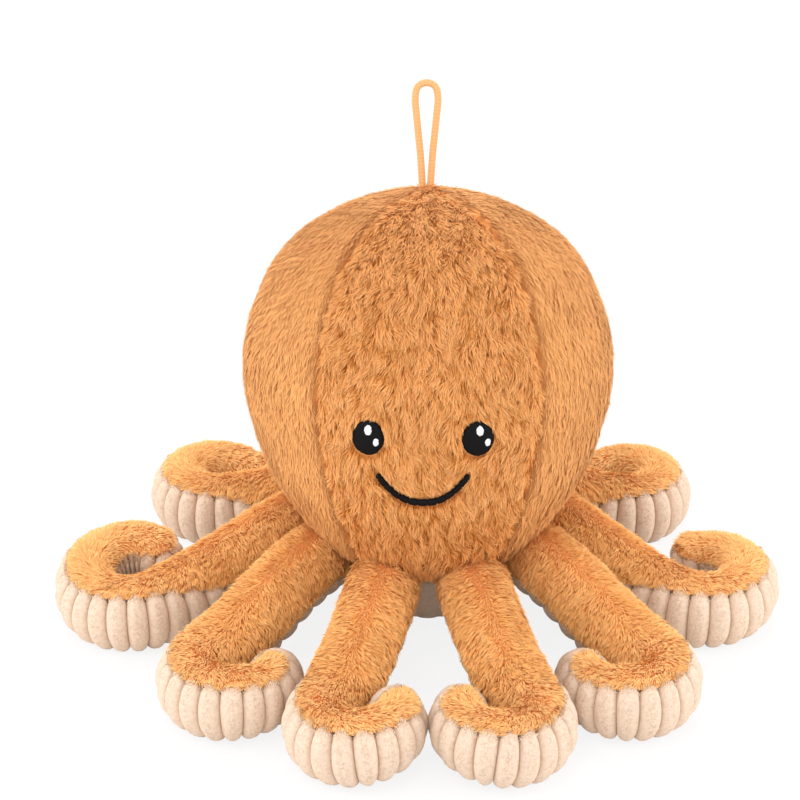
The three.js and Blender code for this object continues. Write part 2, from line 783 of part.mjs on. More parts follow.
function loopOnCrown() {
  const axis = axisAt(bodyLength);
  const group = new THREE.Group();
  group.name = 'loop_on_crown';
  group.position.set(loopShift, axis.y, axis.z);
  group.rotation.x = -axis.lean;
  group.add(piece('hanging_loop', hangingLoop(), loopTone));
  return group;
}

// Assembly

function octopus() {
  const toy = new THREE.Group();
  const sockets = tentacles.flatMap(socketCutters);
  const panelNames = [
    'face_panel', 'right_side_panel', 'right_back_panel', 'left_back_panel', 'left_side_panel',
  ];
  panelNames.forEach((name, k) => toy.add(piece(name, cutBy(headPanel(k), sockets), plushTone)));
  toy.add(piece('base_panel', cutBy(basePanel(), sockets), ribbedTone));
  toy.add(piece('body_stuffing', cutBy(bodyStuffing(), sockets), fillingTone));
  tentacles.forEach((spec) => toy.add(tentacle(spec)));
  toy.add(face());
  toy.add(loopOnCrown());
  return toy;
}

export default octopus();
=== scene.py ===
"""Plush octopus with a panelled head, eight curled tentacles, a stitched face and a hanging loop.

Lengths in the source are millimetres unless a name says otherwise, and add_mesh turns them
into metres. The toy looks towards -Y, +Z is up, and left is -X.
"""

import itertools
import math

import bpy
import numpy as np
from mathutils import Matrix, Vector


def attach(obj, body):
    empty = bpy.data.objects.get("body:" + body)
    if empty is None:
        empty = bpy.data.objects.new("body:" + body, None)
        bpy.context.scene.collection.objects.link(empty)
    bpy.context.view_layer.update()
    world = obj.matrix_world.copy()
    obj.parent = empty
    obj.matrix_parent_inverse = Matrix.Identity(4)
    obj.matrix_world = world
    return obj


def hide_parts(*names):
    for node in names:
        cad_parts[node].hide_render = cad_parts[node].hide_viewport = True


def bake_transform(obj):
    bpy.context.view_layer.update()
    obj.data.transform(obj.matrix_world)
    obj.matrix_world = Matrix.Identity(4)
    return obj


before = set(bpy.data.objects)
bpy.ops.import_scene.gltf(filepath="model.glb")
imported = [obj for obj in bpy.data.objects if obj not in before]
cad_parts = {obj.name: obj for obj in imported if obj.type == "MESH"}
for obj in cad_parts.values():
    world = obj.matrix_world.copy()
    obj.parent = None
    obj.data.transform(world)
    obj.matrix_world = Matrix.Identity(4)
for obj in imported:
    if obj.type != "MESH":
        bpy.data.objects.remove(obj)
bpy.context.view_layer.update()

MM = 0.001

# Camera, in the photograph's frame of 800 by 800 pixels
CAMERA_ELEVATION = 27
CAMERA_DISTANCE = 1000
SENSOR_WIDTH = 36
FRAME_PIXELS = 800
MM_PER_PIXEL = 0.38
FLOOR_AXIS_PIXEL = (427, 603)

# Body
BODY_LENGTH = 163
BODY_RADIUS = 67.8
NECK_HEIGHT = 27.4
NECK_RADIUS = 31
HEAD_LEAN = math.radians(13.5)
LEAN_START = 24
LEAN_END = 64
CROWN_OPENING = 4.2
CROWN_RISE = 0.4
HEAD_HEIGHT_SHARES = (0, 0.029, 0.11, 0.222, 0.356, 0.483, 0.616, 0.743, 0.84, 0.914, 0.963)
HEAD_RADIUS_SHARES = (0.457, 0.56, 0.7, 0.855, 0.953, 1, 0.978, 0.886, 0.76, 0.57, 0.353)
BASE_HEIGHT_SHARES = (0, 0.22, 0.5, 0.78, 1)
BASE_RADIUS_SHARES = (0.3, 0.66, 0.85, 0.95, 1)
PANEL_NAMES = ("face", "right_side", "right_back", "left_back", "left_side")
PANEL_ANGLE = 2 * math.pi / len(PANEL_NAMES)
BACKING_DEPTH = 0.7  # how deep the woven backing lies under the pile's outline
BACKING_WALL = 1.2
PANEL_INSET = 0.01
SEAM_DEPTH = 4.4
SEAM_WIDTH = 4.8
HEM_DEPTH = 2.4  # how much deeper the backing lies at the neck seam
HEM_LENGTH = 18
SHORT_AT_SEAM = 3  # the pile is shorter within this distance of a seam
# width of the painted shade along a seam
SHADED_AT_SEAM = 1.2
SHORT_AT_HEM = 12
CROWN_SPREAD = 45  # radius from the crown over which the pile rises and loses the crown's painted light

# Tentacles
ROOT_RING = 43
ROOT_HEIGHT = 30
TUBE_RADII = (13, 12.6, 11.6, 9.6)
TAPER_SHARES = (0, 0.45, 0.8, 1)
FLOOR_FLAT = 0.5
LEAD_LENGTH = 80
CURL_RADIUS = 20
TIP_LIFT = 10
TIP_RISE_SHARE = 0.25
TALL_SHARE = 1.15  # height of the section in the curl, to its width
LAST_GROOVE = 7  # the ribs' grooves are spaced so that one lies this far before the tip
COVER_CLOSE = 13  # length over which the plush rounds off at the tip
PILE_ROOT = -0.9  # the backing lies this far under the outline of a tentacle
PARTING_ANGLE = 62  # turn of the pile away from the line along its middle
MOST_STRETCH = 2  # of the outer side of a curl, to its centre line
SEAM_TURN_LEAD = 36
SEAM_TURN_LENGTH = 42
OUTER_SEAM_ANGLES = (8, 52)
INNER_SEAM_LEAD = 190  # on the lead; each tentacle has its own angle in the curl
RIB_PITCH = 8.4
RIB_ROW_SHARES = (0, 0.035, 0.08, 0.16, 0.28, 0.42, 0.58, 0.72, 0.84, 0.92, 0.965)
RIB_RELIEF = 2.8
STRIP_EDGE_DROP = 2.6  # how far the strip rounds down at its edges, over this width:
STRIP_EDGE_WIDTH = 4.5
STRIP_INSIDE = -3.4  # the strip's inner side, from the outline of the tentacle
FILLING_OUTSIDE = -4.6
FRINGE_WIDTH = 2.6  # of the strip's edge that the fringe stands on
TIP_ARC = math.pi / 2 * TUBE_RADII[-1]
PATH_STEPS = 300

# Pile: the length and width of a strand's leaf, the lifts of its two halves, the turns of its
# course, the size of its clumps and how far it is drawn to them, its roll, how much its tone
# varies from clump to clump and from strand to strand, and the strands on a square millimetre
CLUMP_STRETCH = 0.45  # clumps are longer along the pile than across it
FACE_STRAND = dict(length=4.8, width=0.36, lifts=(0.7, 0.1), swirl=0.6, swirl_size=15, stray=0.9,
                   clump=1.5, draw=0.4, roll=0.7, clump_tone=1.0, tone=0.2, density=6)
SIDE_STRAND = dict(FACE_STRAND, length=3.4, width=0.48, lifts=(0.3, 0.03), swirl=0.3, stray=0.3,
                   roll=0.15, clump_tone=0.15, tone=0.04, draw=0.2, density=4.6)
TENTACLE_STRAND = dict(length=3.4, width=0.4, lifts=(0.8, 0.2), swirl=0.4, swirl_size=8, stray=0.6,
                       clump=1.3, draw=0.3, roll=0.6, clump_tone=0.55, tone=0.12, density=5.6)
FRINGE_STRAND = dict(length=1.3, width=0.34, lifts=(1.0, 0.5), swirl=0.6, swirl_size=3, stray=1.2,
                     clump=0.9, draw=0.3, roll=0.8, clump_tone=0.4, tone=0.12, density=5)

# Face
FACE_SHIFT = -2.3  # the whole face sits a little to one side
EYE_SPACING = 37.8
EYE_LEVEL = 84.7
EYE_SIZE = (11, 12.7)
EYE_RISE = 1.3
GLINTS = (  # place from the eye's middle and size, in shares of the eye
    ("large_glint", 0.03, 0.26, 0.23, 0.28),
    ("small_glint", 0.27, -0.07, 0.18, 0.22),
)
SMILE_WIDTH = 31.4
SMILE_DROP = 10.3
SMILE_LEVEL = 71.3
SMILE_ROUNDING = 2.5  # 2 is a parabola, more is flatter below and steeper at the ends
SMILE_BAND = 2.1
SMILE_STITCH = 3.3
SMILE_END = 1.1  # length over which its ends round off
SMILE_RISE = 0.95
SMILE_PLY = 0.5
NOTCH_WIDTH = 0.09  # between two stitches of the smile, in shares of a stitch
NOTCH_NARROWING = 0.24
NOTCH_SINKING = 0.3
SATIN_PITCH = 0.42
SATIN_RELIEF = 0.07
THREAD_LIFT = 0.3

# Hanging loop, in metres: across and above the crown, its left leg up to the top of the loop
LOOP_DIAMETER = 0.0027
LOOP_ROUTE = (
    (-0.00155, -0.0025), (-0.00155, 0.0005), (-0.0018, 0.005), (-0.0023, 0.012),
    (-0.003, 0.019), (-0.0037, 0.026), (-0.0041, 0.0315), (-0.0031, 0.0355), (0, 0.0369),
)
LOOP_SHIFT = -0.7  # millimetres that the whole loop sits to one side
BRAID_PITCH = 2.6
BRAID_RELIEF = 0.05

LAMPS = (  # name, place and size in metres, and watts
    ("key", (-0.3, -0.6, 1.2), 0.7, 4.4),
    ("front", (0, -1.3, 0.3), 0.9, 2),
    ("left_side", (-1.1, -0.2, 0.5), 0.8, 5.6),
    ("right_side", (1.1, -0.2, 0.5), 0.8, 6),
    ("back", (0, 0.8, 1.1), 0.8, 7),
)

# The tentacles, as in the solids: angles in degrees from the front towards -X. The reach is how
# far the plush laps over the rounded tip, and the skew how far it turns outwards there.
LEFT_TENTACLES = (
    dict(name="left_front", root=22.5, yaw=-11.5, bend=17, sweep=228, turn=-1,
         lead=0.75, curl=(0.69, 0.66), lift=0.4, reach=1, seam=184, skew=45),
    dict(name="left_mid_front", root=67.5, yaw=-28, bend=2, sweep=228, turn=-1,
         lead=0.775, curl=(0.76, 0.72), lift=0.2, reach=1, seam=184),
    dict(name="left_mid_back", root=112.5, yaw=-57, bend=-1, sweep=250, turn=1,
         lead=0.925, curl=(0.84, 0.78), lift=1, reach=9, seam=162),
    dict(name="left_back", root=157.5, yaw=-51.5, bend=-18, sweep=240, turn=1,
         lead=0.8, curl=(0.84, 0.78), lift=0.1, reach=9, seam=162),
)
RIGHT_CHANGES = {
    "right_front": dict(lead=0.745, curl=(0.72, 0.69), reach=2, skew=0),
    "right_mid_back": dict(yaw=60, sweep=215, lead=0.8, curl=(0.9, 0.88), lift=0.3),
    "right_back": dict(sweep=235, lead=0.765, curl=(0.78, 0.74), seam=176),
}


# Numbers and noise

def smooth(t):
    t = np.clip(t, 0, 1)
    return t * t * (3 - 2 * t)


def pillow(share):
    """1 at an edge, and round like a pillow's edge down to 0 where the share is 1."""
    return 1 - np.sqrt(1 - (1 - np.clip(share, 0, 1)) ** 2)


def around(sides):
    """Even angles round a circle."""
    return np.linspace(0, 2 * math.pi, sides, endpoint=False)


def unit(v):
    return v / np.maximum(np.linalg.norm(v, axis=-1, keepdims=True), 1e-9)


def stacked(x, y, z):
    """Points from coordinates of any matching shapes."""
    return np.stack(np.broadcast_arrays(x, y, z), axis=-1)


def spread(count, ratios=(0.7548776662, 0.5698402910, 0.4323548)):
    """Evenly scattered values from 0 to 1, one column for each ratio."""
    k = np.arange(1, count + 1)[:, None]
    return (0.5 + k * np.array(ratios)) % 1


def lattice_noise(points, size, seed):
    """Smooth noise from -1 to 1 whose features have the given size."""
    side = 32
    table = np.random.default_rng(seed).uniform(-1, 1, (side, side, side))
    low = np.floor(points / size).astype(int)
    t = smooth(points / size - low)
    total = np.zeros(points.shape[:-1])
    for corner in itertools.product((0, 1), repeat=3):
        weight = np.prod(np.where(corner, t, 1 - t), axis=-1)
        index = (low + corner) % side
        total += weight * table[index[..., 0], index[..., 1], index[..., 2]]
    return total


def clumps(places, size, seed):
    """For each flat place, the way to the nearest point of a scattered lattice and its three values."""
    side = 64
    table = np.random.default_rng(seed).uniform(0, 1, (side, side, 5))
    cell = np.floor(places / size).astype(int)
    nearest = np.full(len(places), np.inf)
    ways = np.zeros_like(places)
    values = np.zeros((len(places), 3))
    for offset in itertools.product((-1, 0, 1), repeat=2):
        index = cell + offset
        drawn = table[index[:, 0] % side, index[:, 1] % side]
        way = (index + drawn[:, :2]) * size - places
        distance = np.linalg.norm(way, axis=1)
        closer = distance < nearest
        nearest[closer] = distance[closer]
        ways[closer] = way[closer]
        values[closer] = drawn[closer, 2:]
    return ways, values


def spline(points, per_span=24):
    """Points along a smooth curve through the given ones."""
    p = np.array(points, float)
    p = np.vstack([2 * p[0] - p[1], p, 2 * p[-1] - p[-2]])
    t = np.linspace(0, 1, per_span, endpoint=False)[:, None]
    spans = [
        (2 * b + (c - a) * t + (2 * a - 5 * b + 4 * c - d) * t**2
         + (3 * b - a - 3 * c + d) * t**3) / 2
        for a, b, c, d in zip(p, p[1:], p[2:], p[3:])
    ]
    return np.vstack([*spans, p[-2:-1]])


def arc_lengths(points):
    return np.cumsum([0, *np.linalg.norm(np.diff(points, axis=0), axis=1)])


# Meshes

def add_mesh(name, points, faces, material, attributes=None, bake_uv=None):
    """A smooth mesh object from points in millimetres and faces of point numbers."""
    mesh = bpy.data.meshes.new(name)
    mesh.from_pydata((np.asarray(points) * MM).tolist(), [], faces)
    mesh.polygons.foreach_set("use_smooth", np.ones(len(mesh.polygons), bool))
    for label, values in (attributes or {}).items():
        layer = mesh.attributes.new(label, "FLOAT", "POINT")
        layer.data.foreach_set("value", np.asarray(values, np.float32).ravel())
    if bake_uv is not None:
        layer = mesh.uv_layers.new(name="OFBake")
        corners = np.zeros(len(mesh.loops), np.int32)
        mesh.loops.foreach_get("vertex_index", corners)
        layer.data.foreach_set("uv", bake_uv[corners].astype(np.float32).ravel())
    mesh.materials.append(material)
    mesh.update()
    piece = bpy.data.objects.new(name, mesh)
    bpy.context.scene.collection.objects.link(piece)
    return piece


def grid_faces(rows, columns, start=0, flip=False, closed=False):
    """Quads of a grid of points; a closed grid joins its last column to its first."""
    i, j = np.meshgrid(np.arange(rows - 1), np.arange(columns - (not closed)), indexing="ij")
    i, j = i.ravel(), j.ravel()
    after = (j + 1) % columns
    row, below = i * columns + start, (i + 1) * columns + start
    quads = np.stack([row + j, below + j, below + after, row + after], axis=1)
    return quads[:, ::-1] if flip else quads


def bridge(a, b):
    """Triangles between two lines of point numbers that run the same way."""
    a, b = a.tolist(), b.tolist()
    faces = []
    i = j = 0
    while i < len(a) - 1 or j < len(b) - 1:
        ahead = (i + 1) * (len(b) - 1) <= (j + 1) * (len(a) - 1)
        if j == len(b) - 1 or (i < len(a) - 1 and ahead):
            faces.append((a[i], a[i + 1], b[j]))
            i += 1
        else:
            faces.append((a[i], b[j + 1], b[j]))
            j += 1
    return faces


def add_slab(name, outer, inner, material, attributes=None):
    """A closed sheet with thickness, from a fine outer grid and a coarse inner grid of points.

    Its attributes are given on the outer grid and end at 0 inside.
    """
    fine, coarse = outer.shape[:2], inner.shape[:2]
    start, hidden = math.prod(fine), math.prod(coarse)
    outside = np.arange(start).reshape(fine)
    inside = start + np.arange(hidden).reshape(coarse)
    faces = [*grid_faces(*fine).tolist(), *grid_faces(*coarse, start, flip=True).tolist(),
             *bridge(inside[:, 0], outside[:, 0]), *bridge(outside[0], inside[0]),
             *bridge(outside[:, -1], inside[:, -1]), *bridge(inside[-1], outside[-1])]
    points = np.vstack([outer.reshape(-1, 3), inner.reshape(-1, 3)])
    padded = {label: np.concatenate([values.ravel(), np.zeros(hidden)])
              for label, values in (attributes or {}).items()}
    return add_mesh(name, points, faces, material, padded)


def add_tube(name, rings, material, attributes=None):
    """A closed body through closed rings of points, its first and last ring filled by a fan."""
    count, sides = rings.shape[:2]
    ends = np.stack([rings[0].mean(axis=0), rings[-1].mean(axis=0)])
    points = np.vstack([rings.reshape(-1, 3), ends])
    faces = grid_faces(count, sides, closed=True).tolist()
    last = count * sides
    for j in range(sides):
        after = (j + 1) % sides
        faces += [[last, j, after], [last + 1, last - sides + after, last - sides + j]]
    padded = {label: np.concatenate([values.ravel(), values[0, :1], values[-1, :1]])
              for label, values in (attributes or {}).items()}
    return add_mesh(name, points, faces, material, padded)


# Materials

# The roots are darker than the tips: painted shade deep in the pile.
PILE_LOOKS = (  # name, screen colours at the root, middle and tip, and share left of the darkest
    ("face_pile", (212, 124, 48), (232, 158, 90), (248, 196, 132), (0.64, 0.43, 0.18)),
    ("side_pile", (234, 164, 98), (232, 169, 106), (236, 178, 118), (0.92, 0.84, 0.7)),
    ("tentacle_pile", (248, 168, 92), (255, 186, 110), (255, 212, 146), (0.8, 0.66, 0.44)),
    ("fleece_nap", (232, 206, 184), (242, 220, 200), (250, 232, 214), (0.86, 0.82, 0.77)),
)


def colour(red, green, blue):
    """A colour written as it shows on a screen, as the linear one that shaders take."""
    return tuple(((c / 255 + 0.055) / 1.055) ** 2.4 for c in (red, green, blue)) + (1,)


class Nodes:
    """The node tree of a material or of the world."""

    def __init__(self, owner):
        owner.use_nodes = True
        self.nodes, self.links = owner.node_tree.nodes, owner.node_tree.links

    def add(self, kind, inputs=None, **settings):
        """A new node. Each input is a value, or the output of another node to link."""
        node = self.nodes.new(f"ShaderNode{kind}")
        for name, value in settings.items():
            setattr(node, name, value)
        for name, value in (inputs or {}).items():
            if isinstance(value, bpy.types.NodeSocket):
                self.links.new(value, node.inputs[name])
            else:
                node.inputs[name].default_value = value
        return node

    def seen_directly(self):
        """1 for camera, glossy and transmission rays, else 0."""
        path = self.add("LightPath").outputs
        total = path["Is Camera Ray"]
        for name in ("Is Glossy Ray", "Is Transmission Ray"):
            total = self.add("Math", {0: total, 1: path[name]}, operation="MAXIMUM").outputs[0]
        return total


class Look(Nodes):
    """A material in the making: its methods add nodes and return what comes out of them."""

    def __init__(self, name, roughness, sheen=0.0, sheen_tint=(1, 1, 1, 1), specular=0.3):
        self.material = bpy.data.materials.new(name)
        super().__init__(self.material)
        self.shader = self.nodes["Principled BSDF"]
        values = {"Roughness": roughness, "Sheen Weight": sheen, "Sheen Roughness": 0.45,
                  "Sheen Tint": sheen_tint, "Specular IOR Level": specular}
        for label, value in values.items():
            self.shader.inputs[label].default_value = value

    def attribute(self, name):
        return self.add("Attribute", attribute_name=name).outputs["Fac"]

    def noise(self, feature, detail=3, roughness=0.55):
        """Noise in the object's own space, with features of that many millimetres."""
        place = self.add("TexCoord").outputs["Object"]
        return self.add("TexNoise", {"Vector": place, "Scale": 1 / (feature * MM), "Detail": detail,
                                     "Roughness": roughness}).outputs["Fac"]

    def distance_from(self, level, value):
        """How far a value lies from a level, on either side."""
        difference = self.add("Math", {0: value, 1: level}, operation="SUBTRACT").outputs[0]
        return self.add("Math", {0: difference}, operation="ABSOLUTE").outputs[0]

    def ramp(self, value, stops):
        node = self.add("ValToRGB", {"Fac": value})
        points = node.color_ramp.elements
        points[0].position, points[0].color = stops[0]
        points[1].position, points[1].color = stops[-1]
        for place, tone in stops[1:-1]:
            points.new(place).color = tone
        return node.outputs["Color"]

    def multiply(self, first, second, share=1.0):
        """The first colour times the second, or only a share of the way there."""
        return self.add("Mix", {0: share, 6: first, 7: second}, data_type="RGBA",
                        blend_type="MULTIPLY").outputs[2]

    def bump(self, height, distance, strength=1.0, **under):
        node = self.add("Bump", {"Distance": distance * MM, "Strength": strength, "Height": height, **under})
        self.links.new(node.outputs["Normal"], self.shader.inputs["Normal"])
        return node.outputs["Normal"]

    def coloured(self, tone):
        """The material, once it has its base colour."""
        self.links.new(tone, self.shader.inputs["Base Color"])
        return self.material


def pile_material(name, root, middle, tip, dark):
    """Strands from the root's colour to the tip's, the darkest of them times the dark share."""
    look = Look(name, 0.8, 0.12, colour(255, 214, 165), 0.1)
    # Darker towards the root: painted shade deep in the pile.
    body = look.ramp(look.attribute("along_strand"),
                     [(0.0, colour(*root)), (0.5, colour(*middle)), (1.0, colour(*tip))])
    tone = look.ramp(look.attribute("strand_tone"),
                     [(0.0, (*dark, 1)), (0.4, (0.93, 0.87, 0.78, 1)), (1.0, (1, 1, 1, 1))])
    patches = look.ramp(look.noise(14, 2), [(0.35, (0.94, 0.92, 0.89, 1)), (0.65, (1, 1, 1, 1))])
    return look.coloured(look.multiply(look.multiply(body, tone), patches))


def backing_material():
    look = Look("plush_backing", 0.95, 0.1)
    weave = look.noise(0.7, 2)
    look.bump(weave, 0.3)
    return look.coloured(look.ramp(weave, [(0.3, colour(226, 148, 80)), (0.7, colour(244, 168, 98))]))


def fleece_material():
    """Pale short fleece: curly nubs of about a millimetre, darker in its creases and rib grooves with painted
    shade.
    """
    look = Look("ribbed_fleece", 0.9, 0.25, colour(255, 240, 224), 0.1)
    nubs = look.noise(1.4, 3, 0.6)
    tone = look.ramp(nubs, [(0.28, colour(208, 182, 158)), (0.46, colour(222, 197, 175)),
                            (0.75, colour(229, 206, 186))])
    # Thin dark lines where the curls meet: painted shade in the fleece's creases.
    curls = look.distance_from(0.5, look.noise(1.3, 2, 0.5))
    lines = look.ramp(curls, [(0.0, (0.76, 0.67, 0.58, 1)), (0.07, (1, 1, 1, 1))])
    tone = look.multiply(tone, lines, look.attribute("crease_shade"))
    # Darker in the rib grooves and where the strip rounds down under the plush: painted shade.
    groove_shade = look.ramp(look.attribute("groove_shade"),
                       [(0.0, (0.78, 0.68, 0.59, 1)), (0.35, (0.95, 0.93, 0.9, 1)), (0.8, (1, 1, 1, 1))])
    fine = look.bump(look.noise(0.5, 3, 0.6), 0.12)
    look.bump(nubs, 0.35, 0.8, Normal=fine)
    return look.coloured(look.multiply(tone, groove_shade))


def filling_material():
    look = Look("fibre_filling", 1.0, 0.4)
    fibres = look.noise(2.4, 6, 0.7)
    look.bump(fibres, 0.8)
    return look.coloured(look.ramp(fibres, [(0.3, colour(222, 219, 212)), (0.7, colour(250, 249, 246))]))


def thread_material(name, dark, light, roughness):
    """Satin thread: fine lines of light along the stitches."""
    look = Look(name, roughness, specular=0.12)
    look.bump(look.noise(0.3, 2), 0.06)
    return look.coloured(look.ramp(look.attribute("thread"), [(0.0, dark), (1.0, light)]))


def cord_material():
    look = Look("loop_cord", 0.7, 0.2, colour(255, 225, 190), 0.25)
    look.bump(look.noise(0.35, 3), 0.08)
    # Lighter on the braid's raised strands and darker between them: painted light and shade.
    return look.coloured(look.ramp(
        look.attribute("thread"),
        [(0.0, colour(208, 154, 98)), (0.6, colour(222, 170, 114)), (1.0, colour(228, 178, 124))]))


# Body surface

def body_profile():
    """Distance along the profile from the neck seam, distance along the axis, and radius."""
    head_length = BODY_LENGTH - NECK_HEIGHT
    rings = [(NECK_HEIGHT + h * head_length, r * BODY_RADIUS)
             for h, r in zip(HEAD_HEIGHT_SHARES, HEAD_RADIUS_SHARES)]
    rings += [(BODY_LENGTH - CROWN_RISE, CROWN_OPENING), (BODY_LENGTH, 0),
              (BODY_LENGTH - CROWN_RISE, -CROWN_OPENING)]
    line = spline(rings)
    line = line[:np.argmax(line[:, 1] <= 0) + 1]
    line[-1, 1] = 0
    return arc_lengths(line), line[:, 0], line[:, 1]


def body_axis():
    """The leaning axis: distance along it, y, z and lean."""
    along = np.linspace(-5, BODY_LENGTH + 5, 700)
    lean = HEAD_LEAN * smooth((along - LEAN_START) / (LEAN_END - LEAN_START))
    step = along[1] - along[0]
    y = np.cumsum(np.sin(lean)) * step
    z = np.cumsum(np.cos(lean)) * step
    return along, y - np.interp(0, along, y), z - np.interp(0, along, z), lean


PROFILE_ARC, PROFILE_ALONG, PROFILE_RADIUS = body_profile()
PROFILE_RISE = np.gradient(PROFILE_ALONG, PROFILE_ARC)
PROFILE_SPREAD = np.gradient(PROFILE_RADIUS, PROFILE_ARC)
AXIS_ALONG, AXIS_Y, AXIS_Z, AXIS_LEAN = body_axis()


def radius_at(arc):
    return np.interp(arc, PROFILE_ARC, PROFILE_RADIUS)


def round_axis(along, radius, angle):
    """Points at a radius and an angle round the axis; 0 is the front, positive towards +X."""
    lean = np.interp(along, AXIS_ALONG, AXIS_LEAN)
    forward = -radius * np.cos(angle)
    return stacked(radius * np.sin(angle),
                   np.interp(along, AXIS_ALONG, AXIS_Y) + forward * np.cos(lean),
                   np.interp(along, AXIS_ALONG, AXIS_Z) - forward * np.sin(lean))


def on_body(arc, angle, depth=0.0):
    """Points on the head, with the outward normal and the direction up along the profile."""
    along = np.interp(arc, PROFILE_ARC, PROFILE_ALONG)
    radius = radius_at(arc)
    rise = np.interp(arc, PROFILE_ARC, PROFILE_RISE)
    widening = np.interp(arc, PROFILE_ARC, PROFILE_SPREAD)
    place = round_axis(along + depth * widening, radius - depth * rise, angle)
    lean = np.interp(along, AXIS_ALONG, AXIS_LEAN)
    out = stacked(np.sin(angle), -np.cos(angle) * np.cos(lean), np.cos(angle) * np.sin(lean))
    axis = stacked(0 * lean, np.sin(lean), np.cos(lean))
    normal = unit(rise[..., None] * out - widening[..., None] * axis)
    upward = unit(rise[..., None] * axis + widening[..., None] * out)
    return place, normal, upward


def seam_distance(arc, angle):
    """Distance over the surface to the nearest seam between two head panels."""
    turn = (angle / PANEL_ANGLE + 0.5) % 1
    return np.minimum(turn, 1 - turn) * PANEL_ANGLE * radius_at(arc)


def seam_dip(arc, angle):
    """How far the panels draw in towards their seams, like the edge of a pillow."""
    return SEAM_DEPTH * pillow(seam_distance(arc, angle) / SEAM_WIDTH) * smooth(radius_at(arc) / 25)


def backing_depth(arc, angle):
    """How deep the backing lies under the outline: more so at the seams and at the hem."""
    return BACKING_DEPTH + HEM_DEPTH * (1 - smooth(arc / HEM_LENGTH)) + seam_dip(arc, angle)


# Pile

def add_pile(name, roots, normals, flow, places, across_axis, tip_height, strand, material, seed,
             blocked=None, shade=0.0):
    """Strands of pile: each is a narrow leaf with a bend in its middle, drawn to its clump's line.

    places holds each root's distance across and along the cloth. shade is painted shade: it darkens
    strands and moves them towards the root's colour, deep in a seam for one; below 0 it is painted
    light, which makes them paler.
    """
    count = len(roots)
    shade = np.broadcast_to(shade, count)
    rng = np.random.default_rng(seed)
    drift = 0.7 * np.stack([lattice_noise(roots, 5, seed + 3), lattice_noise(roots, 7, seed + 4)], axis=1)
    ways, values = clumps(places * np.array([1, CLUMP_STRETCH]) + drift, strand["clump"], seed)
    size, turn = strand["swirl_size"], strand["swirl"]
    turn = (turn * lattice_noise(roots, size, seed + 1) + turn * lattice_noise(roots, size / 3, seed + 2)
            + strand["stray"] * (values[:, 0] - 0.5) + rng.normal(0, 0.6 * strand["stray"], count) * 0.4)
    side = np.cross(normals, flow)
    course = flow * np.cos(turn)[:, None] + side * np.sin(turn)[:, None]
    length = strand["length"] * tip_height * (0.75 + 0.4 * rng.random(count)) * (0.85 + 0.3 * values[:, 1])
    lift = 0.3 * (values[:, 2] - 0.5) + rng.normal(0, 0.1, count)
    drawn = across_axis * ways[:, :1] * strand["draw"]
    first, second = (np.clip(angle + lift, 0.02, 1.5) for angle in strand["lifts"])

    def half(angle):
        return (normals * np.sin(angle)[:, None] + course * np.cos(angle)[:, None]) * length[:, None] / 2

    middle = roots + half(first) + 0.3 * drawn
    tip = middle + half(second) + 0.7 * drawn
    if blocked is not None:
        kept = ~blocked(roots, middle, tip)
        roots, middle, tip, normals, course = (a[kept] for a in (roots, middle, tip, normals, course))
        values, shade = values[kept], shade[kept]
        count = len(roots)
    roll = rng.uniform(-strand["roll"], strand["roll"], count)[:, None]
    broad = unit(np.cross(course, normals) * np.cos(roll) + normals * np.sin(roll))
    broad = broad * strand["width"] / 2 * (0.75 + 0.5 * rng.random(count))[:, None]
    points = np.stack([roots, middle - broad, middle + broad, tip], axis=1).reshape(-1, 3)
    faces = 4 * np.arange(count)[:, None] + np.array([0, 2, 1, 1, 2, 3])
    # Painted shade: shade lowers the tone and moves the strand towards the root's colour; below 0 it is
    # painted light.
    tone = 0.6 + strand["clump_tone"] * (values[:, 1] - 0.5) + rng.normal(0, strand["tone"], count) - shade
    along = np.clip(np.array([0, 0.5, 0.5, 1]) - 0.8 * shade[:, None], 0, 1)
    cells = math.ceil(math.sqrt(count))
    cell = np.stack([np.arange(count) % cells, np.arange(count) // cells], axis=1)[:, None, :]
    spot = np.array([(0.5, 0.05), (0.1, 0.5), (0.9, 0.5), (0.5, 0.95)])
    return add_mesh(name, points, faces.reshape(-1, 3).tolist(), material,
                    {"along_strand": along, "strand_tone": np.repeat(np.clip(tone, 0, 1), 4)},
                    ((cell + spot[None]) / cells).reshape(-1, 2))


def dress(piece, body, node=None):
    """Attaches the piece to its body, if it has one, and hides the solid of its node; add_tentacle bakes the
    transforms of those that come without a body.
    """
    if body:
        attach(piece, body)
    if node:
        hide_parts(node)
    return piece


# Face: places on it are given along the body's axis and across from its middle

def on_face(along, across, height):
    """Points above the face panel, at a height over the outline of the pile's backing."""
    arc = np.interp(along, PROFILE_ALONG, PROFILE_ARC)
    return on_body(arc, np.arcsin(across / radius_at(arc)), -height)[0]


def smile_line(t):
    """Place across and along of the smile's middle line, for t from -1 to 1."""
    drop = SMILE_DROP * (1 - np.abs(t) ** SMILE_ROUNDING)
    return FACE_SHIFT + t * SMILE_WIDTH / 2, SMILE_LEVEL - drop


def under_stitches(along, across, margin):
    """Whether a place on the face lies in an eye or the smile, widened by the margin."""
    x, level = smile_line(np.linspace(-1, 1, 60))
    to_smile = np.min(np.hypot(along[:, None] - level, across[:, None] - x), axis=1)
    inside = to_smile < SMILE_BAND / 2 + margin
    for side in (-1, 1):
        x = (across - FACE_SHIFT - side * EYE_SPACING / 2) / (EYE_SIZE[0] / 2 + margin)
        up = (along - EYE_LEVEL) / (EYE_SIZE[1] / 2 + margin)
        inside |= x * x + up * up < 1
    return inside


